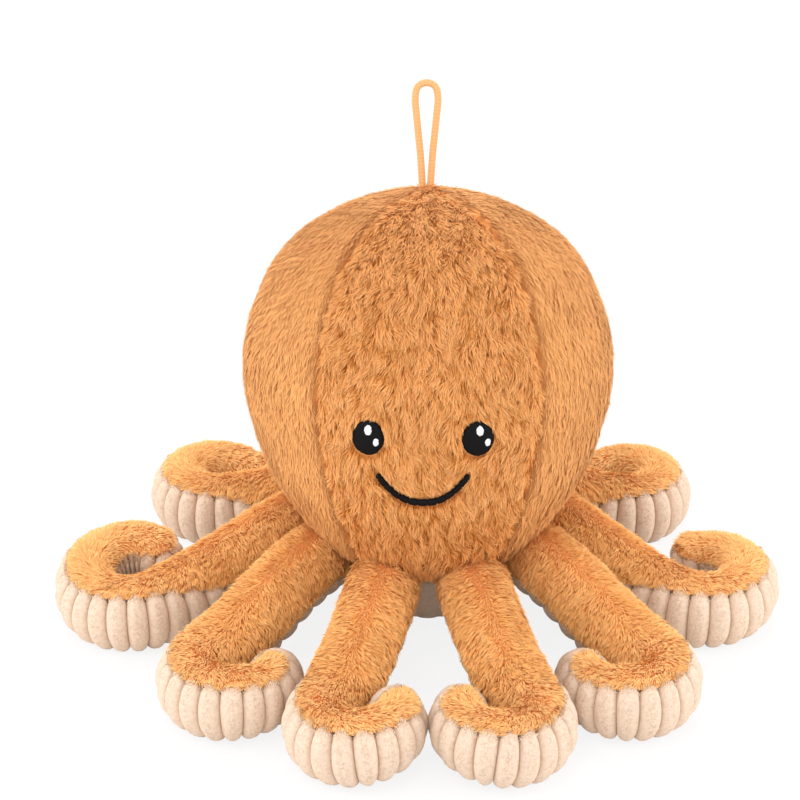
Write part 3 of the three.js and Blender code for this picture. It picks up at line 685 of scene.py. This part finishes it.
def blocked_on_face(roots, middle, tip):
    """Strands that would lie over the embroidery."""
    def up_axis(y, z):
        return y * math.sin(HEAD_LEAN) + z * math.cos(HEAD_LEAN)

    def place(points):
        level = np.interp(up_axis(points[:, 1], points[:, 2]), up_axis(AXIS_Y, AXIS_Z), AXIS_ALONG)
        return level, points[:, 0]

    hidden = under_stitches(*place(roots), 0.15) | under_stitches(*place(tip), -0.25)
    for points in ((roots + middle) / 2, middle, (middle + tip) / 2):
        hidden |= under_stitches(*place(points), 0.0)
    return hidden


def add_head_panels(backing, face_pile, side_pile):
    """Five panels from the crown to the neck seam, each a backing with its pile."""
    for number, name in enumerate(PANEL_NAMES):
        low, high = (number - 0.5) * PANEL_ANGLE, (number + 0.5) * PANEL_ANGLE
        arc = np.linspace(0, PROFILE_ARC[-1] - 0.5, 90)[:, None]
        share = (1 - np.cos(np.linspace(0, math.pi, 41))) / 2
        inset = PANEL_INSET / np.maximum(radius_at(arc), 1)
        angle = low + inset + (high - low - 2 * inset) * share
        arcs = np.broadcast_to(arc, angle.shape)
        depth = backing_depth(arcs, angle)
        outer = on_body(arcs, angle, depth)[0]
        inner = on_body(arcs, angle, depth + BACKING_WALL)[0][::4, ::4]
        panel = add_slab(f"{name}_panel_backing", outer, inner, backing)
        dress(panel, "body", f"{name}_panel")
        add_head_pile(name, low, high, face_pile if name == "face" else side_pile, 100 + number)


def add_head_pile(name, low, high, pile, seed):
    """A panel's pile: it hangs down, short at the seams and darker there with painted shade, flat at the
    crown and paler there with painted light.
    """
    band = np.linspace(0, PROFILE_ARC[-1], 400)
    strand, blocked = (FACE_STRAND, blocked_on_face) if name == "face" else (SIDE_STRAND, None)
    area = np.cumsum(radius_at(band) + 0.01)
    scattered = spread(int(area[-1] * (band[1] - band[0]) * PANEL_ANGLE * strand["density"]))
    arc = np.interp(scattered[:, 0], area / area[-1], band)
    angle = low + (high - low) * scattered[:, 1]
    roots, normals, upward = on_body(arc, angle, backing_depth(arc, angle))
    gap = seam_distance(arc, angle)
    radius = radius_at(arc)
    below_crown = smooth(radius / CROWN_SPREAD)
    strand = dict(strand, lifts=[lift * (0.3 + 0.7 * below_crown) for lift in strand["lifts"]])
    shortened = 0.75 * below_crown * (1 - smooth(gap / SHORT_AT_SEAM))
    height = (1 - shortened) * (0.35 + 0.65 * smooth(arc / SHORT_AT_HEM))
    # Painted shade on strands close to a seam, and painted light that makes the crown paler.
    in_seam = np.exp(-((gap / SHADED_AT_SEAM) ** 2)) * smooth(arc / 8)
    shade = 0.8 * in_seam * below_crown - 0.3 * (1 - below_crown)
    places = np.stack([angle * radius, arc], axis=1)
    piece = add_pile(f"{name}_panel_pile", roots, normals, -upward, places, np.cross(upward, normals),
                     height, strand, pile, seed, blocked, shade)
    dress(piece, "body")


def add_base_panel(fleece):
    """The ribbed disc that closes the body underneath, with its side up to the neck seam."""
    edge = spline(np.stack([BASE_HEIGHT_SHARES, BASE_RADIUS_SHARES], axis=1) * (NECK_HEIGHT, NECK_RADIUS), 6)
    flat = [(0, r) for r in np.linspace(0.4, edge[0, 1], 24)[:-1]]
    line = np.vstack([flat, edge])
    angle = around(120)
    outer = np.stack([round_axis(a, np.full_like(angle, r), angle) for a, r in line])
    lobe = ribs(outer[..., 0] / RIB_PITCH + 0.5)
    inward = np.stack([-outer[..., 0], -outer[..., 1], np.zeros_like(lobe)], axis=-1)
    side = smooth(outer[..., 2] / 4)[..., None]
    outer = outer + 1.2 * (1 - lobe)[..., None] * (np.array([0, 0, 1]) * (1 - side) + unit(inward) * side)
    lid = np.stack([round_axis(NECK_HEIGHT, np.full_like(angle, r), angle) for r in (NECK_RADIUS - 3, 8)])
    # Darker in the grooves between the ribs, as painted shade; the lid gets none.
    grooves = np.vstack([lobe, np.ones((2, len(angle)))])
    panel = add_tube("base_panel_fleece", np.vstack([outer, lid]), fleece, {"groove_shade": grooves})
    dress(panel, "body", "base_panel")


def add_body_filling(filling):
    """Loose fibre inside the head, a little smaller than its panels."""
    arc = np.linspace(0, PROFILE_ARC[-1] - 2, 60)[:, None]
    angle = around(72)[None]
    arc, angle = np.broadcast_arrays(arc, angle)
    rings, normals, _ = on_body(arc, angle, backing_depth(arc, angle) + BACKING_WALL + 0.8)
    rings = rings - normals * (0.6 + 0.6 * lattice_noise(rings, 9, 5))[..., None]
    dress(add_tube("body_filling", rings, filling), "body", "body_stuffing")


# Tentacles

def direction(heading):
    return np.stack([-np.sin(heading), -np.cos(heading), 0 * heading], axis=-1)


def tentacle_specs():
    right = []
    for spec in LEFT_TENTACLES:
        turned = {key: -spec[key] for key in ("root", "yaw", "bend", "turn")}
        name = spec["name"].replace("left", "right")
        right.append({**spec, **turned, "name": name, **RIGHT_CHANGES.get(name, {})})
    return [*LEFT_TENTACLES, *right]


class Tentacle:
    """Centre line, seams and ribs of one tentacle, by distance from its root pivot."""

    def __init__(self, spec):
        self.name = spec["name"]
        self.turn = spec["turn"]
        self.lead = spec["lead"] * LEAD_LENGTH
        self.reach = spec["reach"]
        self.inner_seam = spec["seam"]
        self.skew = spec.get("skew", 0)
        start, end = (share * CURL_RADIUS for share in spec["curl"])
        curl_length = math.radians(spec["sweep"]) * (end - start) / math.log(end / start)
        self.length = self.lead + curl_length
        self.s = np.linspace(0, self.length, PATH_STEPS + 1)
        step = self.s[1]
        in_curl = np.clip((self.s - self.lead) / curl_length, 0, None)
        on_lead = self.s < self.lead
        self.curvature = np.where(on_lead, 0, 1 / (start + (end - start) * in_curl))
        turning = np.where(on_lead, math.radians(spec["bend"]) / self.lead, self.turn * self.curvature) * step
        heading = math.radians(spec["root"] + spec["yaw"]) + np.cumsum([0, *turning[:-1]])
        root = direction(math.radians(spec["root"])) * ROOT_RING
        moves = direction(heading) * step
        moves[0] = root
        self.centre = np.cumsum(moves, axis=0)
        self.radius = np.interp(self.s / self.length, TAPER_SHARES, TUBE_RADII)
        rise = smooth((in_curl - TIP_RISE_SHARE) / (1 - TIP_RISE_SHARE))
        drop = (ROOT_HEIGHT - TUBE_RADII[0] + FLOOR_FLAT) * (1 - smooth(self.s / self.lead))
        self.tall = 1 + (TALL_SHARE - 1) * smooth(self.s / self.lead)
        self.centre[:, 2] = self.radius * self.tall - FLOOR_FLAT + drop + spec["lift"] * TIP_LIFT * rise
        self.outside = np.cumsum([0, *step * (1 + self.curvature * self.radius)])[:-1]
        closing = np.interp(self.length - LAST_GROOVE, self.s, self.outside)
        self.pitch = closing / round(closing / RIB_PITCH)
        self.pivot = np.array([root[0], root[1], ROOT_HEIGHT])
        self.tangent = direction(heading)
        self.tangent[:, 2] = np.gradient(self.centre[:, 2], self.s)
        self.tangent = unit(self.tangent)
        self.outward = direction(heading - self.turn * math.pi / 2)
        self.upward = unit(np.cross(self.tangent, self.outward)) * self.turn

    def at(self, values, s):
        """Values on the centre line at distances s, held beyond both ends."""
        if values.ndim == 1:
            return np.interp(s, self.s, values)
        return np.stack([np.interp(s, self.s, column) for column in values.T], axis=-1)

    def surface(self, s, angle, rise=0.0):
        """Points round the tube, normals and directions along it; s runs on over its rounded ends."""
        s, angle, rise = (a[..., None] for a in np.broadcast_arrays(s, angle, rise))
        radius, tall = self.at(self.radius, s), self.at(self.tall, s)
        beyond = np.where(s < 0, s, np.maximum(s - self.length, 0))
        dome = np.clip(beyond / radius, -math.pi / 2, math.pi / 2)
        tangent = self.at(self.tangent, s[..., 0])
        across = self.at(self.outward, s[..., 0]) * np.cos(angle)
        up = self.at(self.upward, s[..., 0]) * np.sin(angle)
        normal = unit((across + up / tall) * np.cos(dome) + tangent * np.sin(dome))
        shape = (across + up * tall) * np.cos(dome) + tangent * np.sin(dome)
        place = self.at(self.centre, s[..., 0]) + shape * radius + normal * rise
        return place, normal, tangent

    def into_curl(self, s, before, length):
        """From 0 on the lead to 1 in the curl, over a length that starts some way before it."""
        return smooth((s - self.lead + before) / length)

    def grain(self, s, angle):
        """Direction round the tube in which the angle grows."""
        turn = angle[:, None]
        return self.at(self.upward, s) * np.cos(turn) - self.at(self.outward, s) * np.sin(turn)

    def seams(self, s):
        """Angles of the cover's outer and inner seam."""
        turning = self.into_curl(s, SEAM_TURN_LEAD, SEAM_TURN_LENGTH)
        outer = OUTER_SEAM_ANGLES[0] + (OUTER_SEAM_ANGLES[1] - OUTER_SEAM_ANGLES[0]) * turning
        inner = INNER_SEAM_LEAD + (self.inner_seam - INNER_SEAM_LEAD) * turning
        middle = (outer + inner) / 2
        closing = np.clip((s - self.length - self.reach + COVER_CLOSE) / COVER_CLOSE, 0, 1)
        half = (inner - outer) / 2 * np.sqrt(1 - closing**2)
        middle = middle - self.skew * closing
        return np.radians(middle - half), np.radians(middle + half)

    def at_phase(self, phase):
        """Distance from the root at a rib number; whole numbers are grooves."""
        outside = phase * self.pitch
        beyond = np.where(outside < 0, outside, np.maximum(outside - self.outside[-1], 0))
        return np.interp(outside, self.outside, self.s) + beyond


def ribs(phase):
    """Height of rounded ribs with narrow grooves between them, from 0 to 1."""
    across = np.abs(2 * (phase % 1) - 1)
    return np.sqrt(1 - np.minimum(across, 1) ** 2.1)


def rib_lap(lobe):
    """How far a rib's end laps over the seam."""
    return 2.4 * lobe - 1.3


def add_tentacle(spec, number, backing, pile, fleece, nap, filling):
    arm = Tentacle(spec)
    pieces = [
        add_cover(arm, backing),
        add_cover_pile(arm, pile, 200 + number),
        add_strip(arm, fleece, 300 + number),
        add_fringe(arm, nap, 500 + number),
        add_arm_filling(arm, filling, 400 + number),
    ]
    for piece in pieces:
        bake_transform(piece)


def add_cover(arm, backing):
    """The plush cover over the top of a tentacle, without its pile."""
    root_end = -1.2 * TUBE_RADII[0]
    reach = arm.length + arm.reach
    s = np.concatenate([np.linspace(root_end, reach - COVER_CLOSE, 90),
                        reach - COVER_CLOSE * (1 - np.sin(np.linspace(0.06, math.pi / 2, 16)))])[:, None]
    outer_seam, inner_seam = arm.seams(s)
    share = np.linspace(0, 1, 29)[None]
    angle = outer_seam + (inner_seam - outer_seam) * share
    edge = 1 - (1 - np.clip(np.minimum(share, 1 - share) / 0.12, 0, 1)) ** 2
    sunk = PILE_ROOT - 0.9 * (1 - edge)
    outer = arm.surface(s, angle, sunk)[0]
    inner = arm.surface(s, angle, sunk - BACKING_WALL)[0][::4, ::4]
    piece = add_slab(f"{arm.name}_cover_backing", outer, inner, backing)
    return dress(piece, None, f"{arm.name}_plush_cover")


def add_cover_pile(arm, pile, seed):
    """The cover's pile, parted along its middle on the lead, short inside the curl, and paler over the curl
    with painted light.
    """
    band = np.linspace(-0.6 * TUBE_RADII[0], arm.length + arm.reach - 0.3, 500)
    outer_seam, inner_seam = arm.seams(band)
    dome = np.clip(band - arm.length, 0, None) / TUBE_RADII[-1]
    area = np.cumsum((inner_seam - outer_seam) * arm.at(arm.radius, band) * np.cos(dome))
    scattered = spread(int(area[-1] * (band[1] - band[0]) * TENTACLE_STRAND["density"] * MOST_STRETCH))
    s = np.interp(scattered[:, 0], area / area[-1], band)
    outer_seam, inner_seam = arm.seams(s)
    angle = outer_seam + (inner_seam - outer_seam) * scattered[:, 1]
    stretch = 1 + arm.at(arm.curvature, s) * arm.at(arm.radius, s) * np.cos(angle)
    kept = scattered[:, 2] * MOST_STRETCH < stretch
    s, angle, outer_seam, inner_seam = s[kept], angle[kept], outer_seam[kept], inner_seam[kept]
    roots, normals, tangent = arm.surface(s, angle, PILE_ROOT)
    radius = arm.at(arm.radius, s)
    offset = (angle - (outer_seam + inner_seam) / 2) * radius
    near_curl = arm.into_curl(s, before=28, length=25)
    parting = np.radians(PARTING_ANGLE) * np.clip(offset / (2.5 + 5 * near_curl), -1, 1)
    grain = arm.grain(s, angle)
    flow = unit(tangent * np.cos(parting)[:, None] + grain * np.sin(parting)[:, None])
    edge = np.minimum(angle - outer_seam, inner_seam - angle) * radius
    parted = 0.35 * (1 - near_curl)
    height = (0.6 + 0.4 * smooth(edge / 2.5)) * (1 - parted * (1 - smooth(np.abs(offset) / 2.5)))
    curling = arm.into_curl(s, before=12, length=20)
    height *= 1 - curling * (0.15 + 0.45 * (1 - smooth((inner_seam - angle) * radius / 9)))
    places = np.stack([angle * radius, s], axis=1)
    # Strands over the curl get a paler tone: painted light.
    piece = add_pile(f"{arm.name}_cover_pile", roots, normals, flow, places, grain, height,
                     TENTACLE_STRAND, pile, seed, shade=-0.28 * curling)
    return dress(piece, None)


def add_strip(arm, fleece, seed):
    """The ribbed strip round the underside: rounded ribs whose ends lap over the plush."""
    ends = np.array([-1.1 * TUBE_RADII[0], arm.outside[-1] + TIP_ARC - 0.3]) / arm.pitch
    whole = np.arange(math.floor(ends[0]), math.ceil(ends[1]))[:, None] + np.array(RIB_ROW_SHARES)
    phase = whole[(whole > ends[0]) & (whole < ends[1])]
    phase = np.concatenate([ends[:1], phase, ends[1:]])[:, None]
    s = arm.at_phase(phase)
    outer_seam, inner_seam = arm.seams(s)
    radius = arm.at(arm.radius, s)
    lobe = ribs(phase)
    lap = rib_lap(lobe) / radius
    low, high = inner_seam - lap, outer_seam + 2 * math.pi + lap
    share = np.linspace(0, 1, 41)[None]
    angle = low + (high - low) * share
    rounding = pillow(np.minimum(share, 1 - share) * (high - low) * radius / STRIP_EDGE_WIDTH)
    swell = 0.7 - RIB_RELIEF * (1 - lobe) - STRIP_EDGE_DROP * rounding
    points, normals, _ = arm.surface(s, angle, swell)
    nubs = 0.14 * lattice_noise(points, 1.3, seed) + 0.25 * rounding * lattice_noise(points, 2.1, seed + 1)
    points = points + normals * nubs[..., None]
    points[..., 2] = np.maximum(points[..., 2], 0.2)
    inner = arm.surface(s, angle, STRIP_INSIDE)[0][::6, ::6]
    inner[..., 2] = np.maximum(inner[..., 2], 1.0)
    # Masks of painted shade: in the rib grooves and the strip's rounded edges, and in fine creases mostly on
    # the rib tops.
    height = np.broadcast_to(lobe, angle.shape) * (1 - 0.5 * rounding)
    crease_shade = 0.2 + 0.8 * np.exp(-((phase % 1 - 0.5) / 0.13) ** 2) * (1 - rounding)
    piece = add_slab(f"{arm.name}_strip_fleece", points, inner, fleece, {"groove_shade": height, "crease_shade": crease_shade})
    return dress(piece, None, f"{arm.name}_ribbed_strip")


def add_fringe(arm, nap, seed):
    """Short strands along both edges of the strip, that stand over the plush."""
    last = arm.outside[-1] + TIP_ARC - 1
    scattered = spread(int(last * 2 * FRINGE_WIDTH * FRINGE_STRAND["density"]))
    phase = scattered[:, 0] * last / arm.pitch
    lobe = ribs(phase)
    s = arm.at_phase(phase)
    outer_seam, inner_seam = arm.seams(s)
    radius = arm.at(arm.radius, s)
    inside = FRINGE_WIDTH * scattered[:, 2] / radius
    lap = rib_lap(lobe) / radius
    at_inner = scattered[:, 1] < 0.5
    angle = np.where(at_inner, inner_seam - lap + inside, outer_seam + lap - inside)
    rounding = pillow(inside * radius / STRIP_EDGE_WIDTH)
    swell = 0.6 - RIB_RELIEF * (1 - lobe) - STRIP_EDGE_DROP * rounding
    roots, normals, tangent = arm.surface(s, angle, swell)
    flow = unit(arm.grain(s, angle) * np.where(at_inner, -1, 1)[:, None])
    places = np.stack([radius * angle, s], axis=1)
    piece = add_pile(f"{arm.name}_strip_fringe", roots, normals, flow, places, tangent,
                     0.35 + 0.65 * lobe, FRINGE_STRAND, nap, seed)
    return dress(piece, None)


def add_arm_filling(arm, filling, seed):
    s = np.linspace(-0.5 * TUBE_RADII[0], arm.length - 2, 70)[:, None]
    angle = around(20)[None]
    s, angle = np.broadcast_arrays(s, angle)
    rings, normals, _ = arm.surface(s, angle, FILLING_OUTSIDE)
    rings = rings + normals * (0.5 * lattice_noise(rings, 5, seed))[..., None]
    piece = add_tube(f"{arm.name}_filling", rings, filling)
    return dress(piece, None, f"{arm.name}_stuffing")


# Embroidery

def add_patch(node, along, across, width, height, base, rise, slant, material, slot_name):
    """An oval of satin stitch: a low dome with threads running across it."""
    t = np.sin(np.linspace(0.02, 1, 36) * math.pi / 2)[:, None]
    angle = around(150)[None]
    x, up = t * np.cos(angle) * width / 2, t * np.sin(angle) * height / 2
    line = x * math.cos(slant) + up * math.sin(slant)
    ply = 0.5 + 0.5 * np.cos(2 * math.pi * line / SATIN_PITCH)
    ragged = 1 + 0.1 / width * lattice_noise(np.stack([x, up, 0 * x], axis=-1) + across, 0.6, 7) * 3 * t**4
    dome = np.sqrt(np.clip(1 - t**3, 0, 1)) * rise
    top = on_face(along + up * ragged, across + x * ragged, base + dome + SATIN_RELIEF * ply * (t < 0.98))
    under = on_face(along + up[-1:] * 0.97, across + x[-1:] * 0.97, np.full_like(angle, base - 1.6))
    thread = {"thread": np.vstack([ply, ply[-1:]])}
    dress(add_tube(f"{node}_stitch", np.vstack([top, under]), material, thread), "body", node)


def add_eyes(black, white):
    for name, side in (("left", -1), ("right", 1)):
        across = FACE_SHIFT + side * EYE_SPACING / 2
        add_patch(f"{name}_eye", EYE_LEVEL, across, *EYE_SIZE, base=THREAD_LIFT, rise=EYE_RISE,
                  slant=0.25, material=black, slot_name="black_thread")
        for label, over, up, width, height in GLINTS:
            reach = math.hypot(2 * over, 2 * up)
            on_dome = THREAD_LIFT + EYE_RISE * math.sqrt(1 - reach**3) - 0.1
            add_patch(f"{name}_eye_{label}", EYE_LEVEL + up * EYE_SIZE[1], across + over * EYE_SIZE[0],
                      width * EYE_SIZE[0], height * EYE_SIZE[1], base=on_dome, rise=0.4, slant=1.3,
                      material=white, slot_name="white_thread")


def add_smile(black):
    """A band of slanted satin stitches along an arc, in short sewn lengths."""
    t = np.linspace(-1, 1, 420)
    x, level = smile_line(t)
    line = np.stack([x, level], axis=1)
    arc = arc_lengths(line)
    heading = unit(np.gradient(line, axis=0))
    across = np.stack([-heading[:, 1], heading[:, 0]], axis=1)
    turn = around(18)
    ends = np.sqrt(np.clip(1 - (1 - np.minimum(arc, arc[-1] - arc) / SMILE_END).clip(0, 1) ** 2, 0.01, 1))
    stitch = arc / SMILE_STITCH
    notch = np.exp(-((stitch % 1 - 0.5) / NOTCH_WIDTH) ** 2)
    half = SMILE_BAND / 2 * ends * (1 - NOTCH_NARROWING * notch)
    over = np.cos(turn)[None] * half[:, None]
    ply = 0.5 + 0.5 * np.cos(2 * math.pi * (arc[:, None] + 0.9 * over) / SMILE_PLY)
    raised = np.sin(turn)[None] * (SMILE_RISE * ends * (1 - NOTCH_SINKING * notch))[:, None]
    raised = raised + 0.06 * ply * (raised > 0)
    sewn = on_face(level[:, None] + over * across[:, 1:], x[:, None] + over * across[:, :1],
                   THREAD_LIFT + 0.25 + raised)
    dress(add_tube("smile_stitch", sewn, black, {"thread": ply}), "body", "smile")


# Hanging loop

def add_loop(material):
    """A braided cord in the plane of the crown: both legs go into the crown seam."""
    right = [(-across, up) for across, up in reversed(LOOP_ROUTE[:-1])]
    line = spline([*LOOP_ROUTE, *right], 16) / MM
    lean = AXIS_LEAN[-1]
    crown = round_axis(BODY_LENGTH, 0.0, 0.0) + np.array([LOOP_SHIFT, 0, 0])
    side, upward = np.array([1, 0, 0]), np.array([0, math.sin(lean), math.cos(lean)])
    face_on = np.cross(side, upward)
    arc = arc_lengths(line)
    even = np.linspace(0, arc[-1], 260)
    line = np.stack([np.interp(even, arc, column) for column in line.T], axis=1)
    path = crown + line[:, :1] * side + line[:, 1:] * upward
    heading = unit(np.gradient(path, axis=0))
    across = np.cross(face_on, heading)
    turn = around(20)[None]
    winding = 2 * math.pi * even[:, None] / BRAID_PITCH
    braid = np.sin(3 * turn + winding) * np.sin(3 * turn - winding)
    radius = LOOP_DIAMETER / MM / 2 - BRAID_RELIEF + BRAID_RELIEF * braid
    rings = (path[:, None] + across[:, None] * (np.cos(turn) * radius)[..., None]
             + face_on[None, None] * (np.sin(turn) * radius)[..., None])
    # The braid's height, for the cord's painted light and shade.
    piece = add_tube("hanging_loop_cord", rings, material, {"thread": 0.5 + 0.5 * braid})
    dress(piece, "loop", "hanging_loop")


# Camera, lights and floor

def add_pointed(name, data, place, heading):
    """A camera or lamp that looks along the heading."""
    piece = bpy.data.objects.new(name, data)
    piece.location = place
    piece.rotation_mode = "QUATERNION"
    piece.rotation_quaternion = heading.to_track_quat("-Z", "Y")
    bpy.context.scene.collection.objects.link(piece)
    return piece


def add_camera():
    elevation = math.radians(CAMERA_ELEVATION)
    back = Vector((0, -math.cos(elevation), math.sin(elevation)))
    up = Vector((0, math.sin(elevation), math.cos(elevation)))
    aim = Vector(((FRAME_PIXELS / 2 - FLOOR_AXIS_PIXEL[0]) * MM_PER_PIXEL, 0, 0))
    aim += up * (FLOOR_AXIS_PIXEL[1] - FRAME_PIXELS / 2) * MM_PER_PIXEL
    data = bpy.data.cameras.new("camera")
    data.sensor_width = SENSOR_WIDTH
    data.lens = SENSOR_WIDTH * CAMERA_DISTANCE / (FRAME_PIXELS * MM_PER_PIXEL)
    data.clip_start = 0.01
    bpy.context.scene.camera = add_pointed("camera", data, (aim + back * CAMERA_DISTANCE) * MM, -back)


def add_lamp(name, place, size, power):
    """A soft square lamp that looks at the middle of the toy."""
    data = bpy.data.lights.new(name, "AREA")
    data.size = size
    data.energy = power
    add_pointed(name, data, place, Vector((0, 0, 0.07)) - Vector(place))


def set_world():
    world = bpy.data.worlds.new("studio")
    bpy.context.scene.world = world
    studio = Nodes(world)
    strength = studio.add("MapRange", {"Value": studio.seen_directly(), "To Min": 0.9, "To Max": 1.0})
    background = studio.nodes["Background"]
    background.inputs["Color"].default_value = (1, 1, 1, 1)
    studio.links.new(strength.outputs["Result"], background.inputs["Strength"])


def add_floor():
    half = 3000
    corners = [(-half, -half, 0), (half, -half, 0), (half, half, 0), (-half, half, 0)]
    look = Look("pale_floor", 0.9, specular=0.5)
    look.shader.inputs["Base Color"].default_value = (0.88, 0.88, 0.88, 1)
    share = look.add("Math", {0: look.seen_directly(), 1: 0.85}, operation="MULTIPLY").outputs[0]
    lit = look.add("Emission", {"Color": (1, 1, 1, 1)}).outputs[0]
    blend = look.add("MixShader", {0: share, 1: look.shader.outputs[0], 2: lit}).outputs[0]
    look.links.new(blend, look.nodes["Material Output"].inputs["Surface"])
    add_mesh("floor", corners, [(0, 1, 2, 3)], look.material)


def main():
    bpy.context.scene.view_settings.view_transform = "Standard"
    add_camera()
    add_loop(cord_material())
    backing, fleece, filling = backing_material(), fleece_material(), filling_material()
    face_pile, side_pile, arm_pile, nap = (pile_material(*looks) for looks in PILE_LOOKS)
    black = thread_material("black_thread", colour(5, 5, 6), colour(18, 18, 20), 0.6)
    white = thread_material("white_thread", colour(212, 212, 214), colour(242, 242, 243), 0.5)
    add_head_panels(backing, face_pile, side_pile)
    add_body_filling(filling)
    add_base_panel(fleece)
    for number, spec in enumerate(tentacle_specs()):
        add_tentacle(spec, number, backing, arm_pile, fleece, nap, filling)
    add_eyes(black, white)
    add_smile(black)
    add_floor()
    set_world()
    for lamp in LAMPS:
        add_lamp(*lamp)


main()
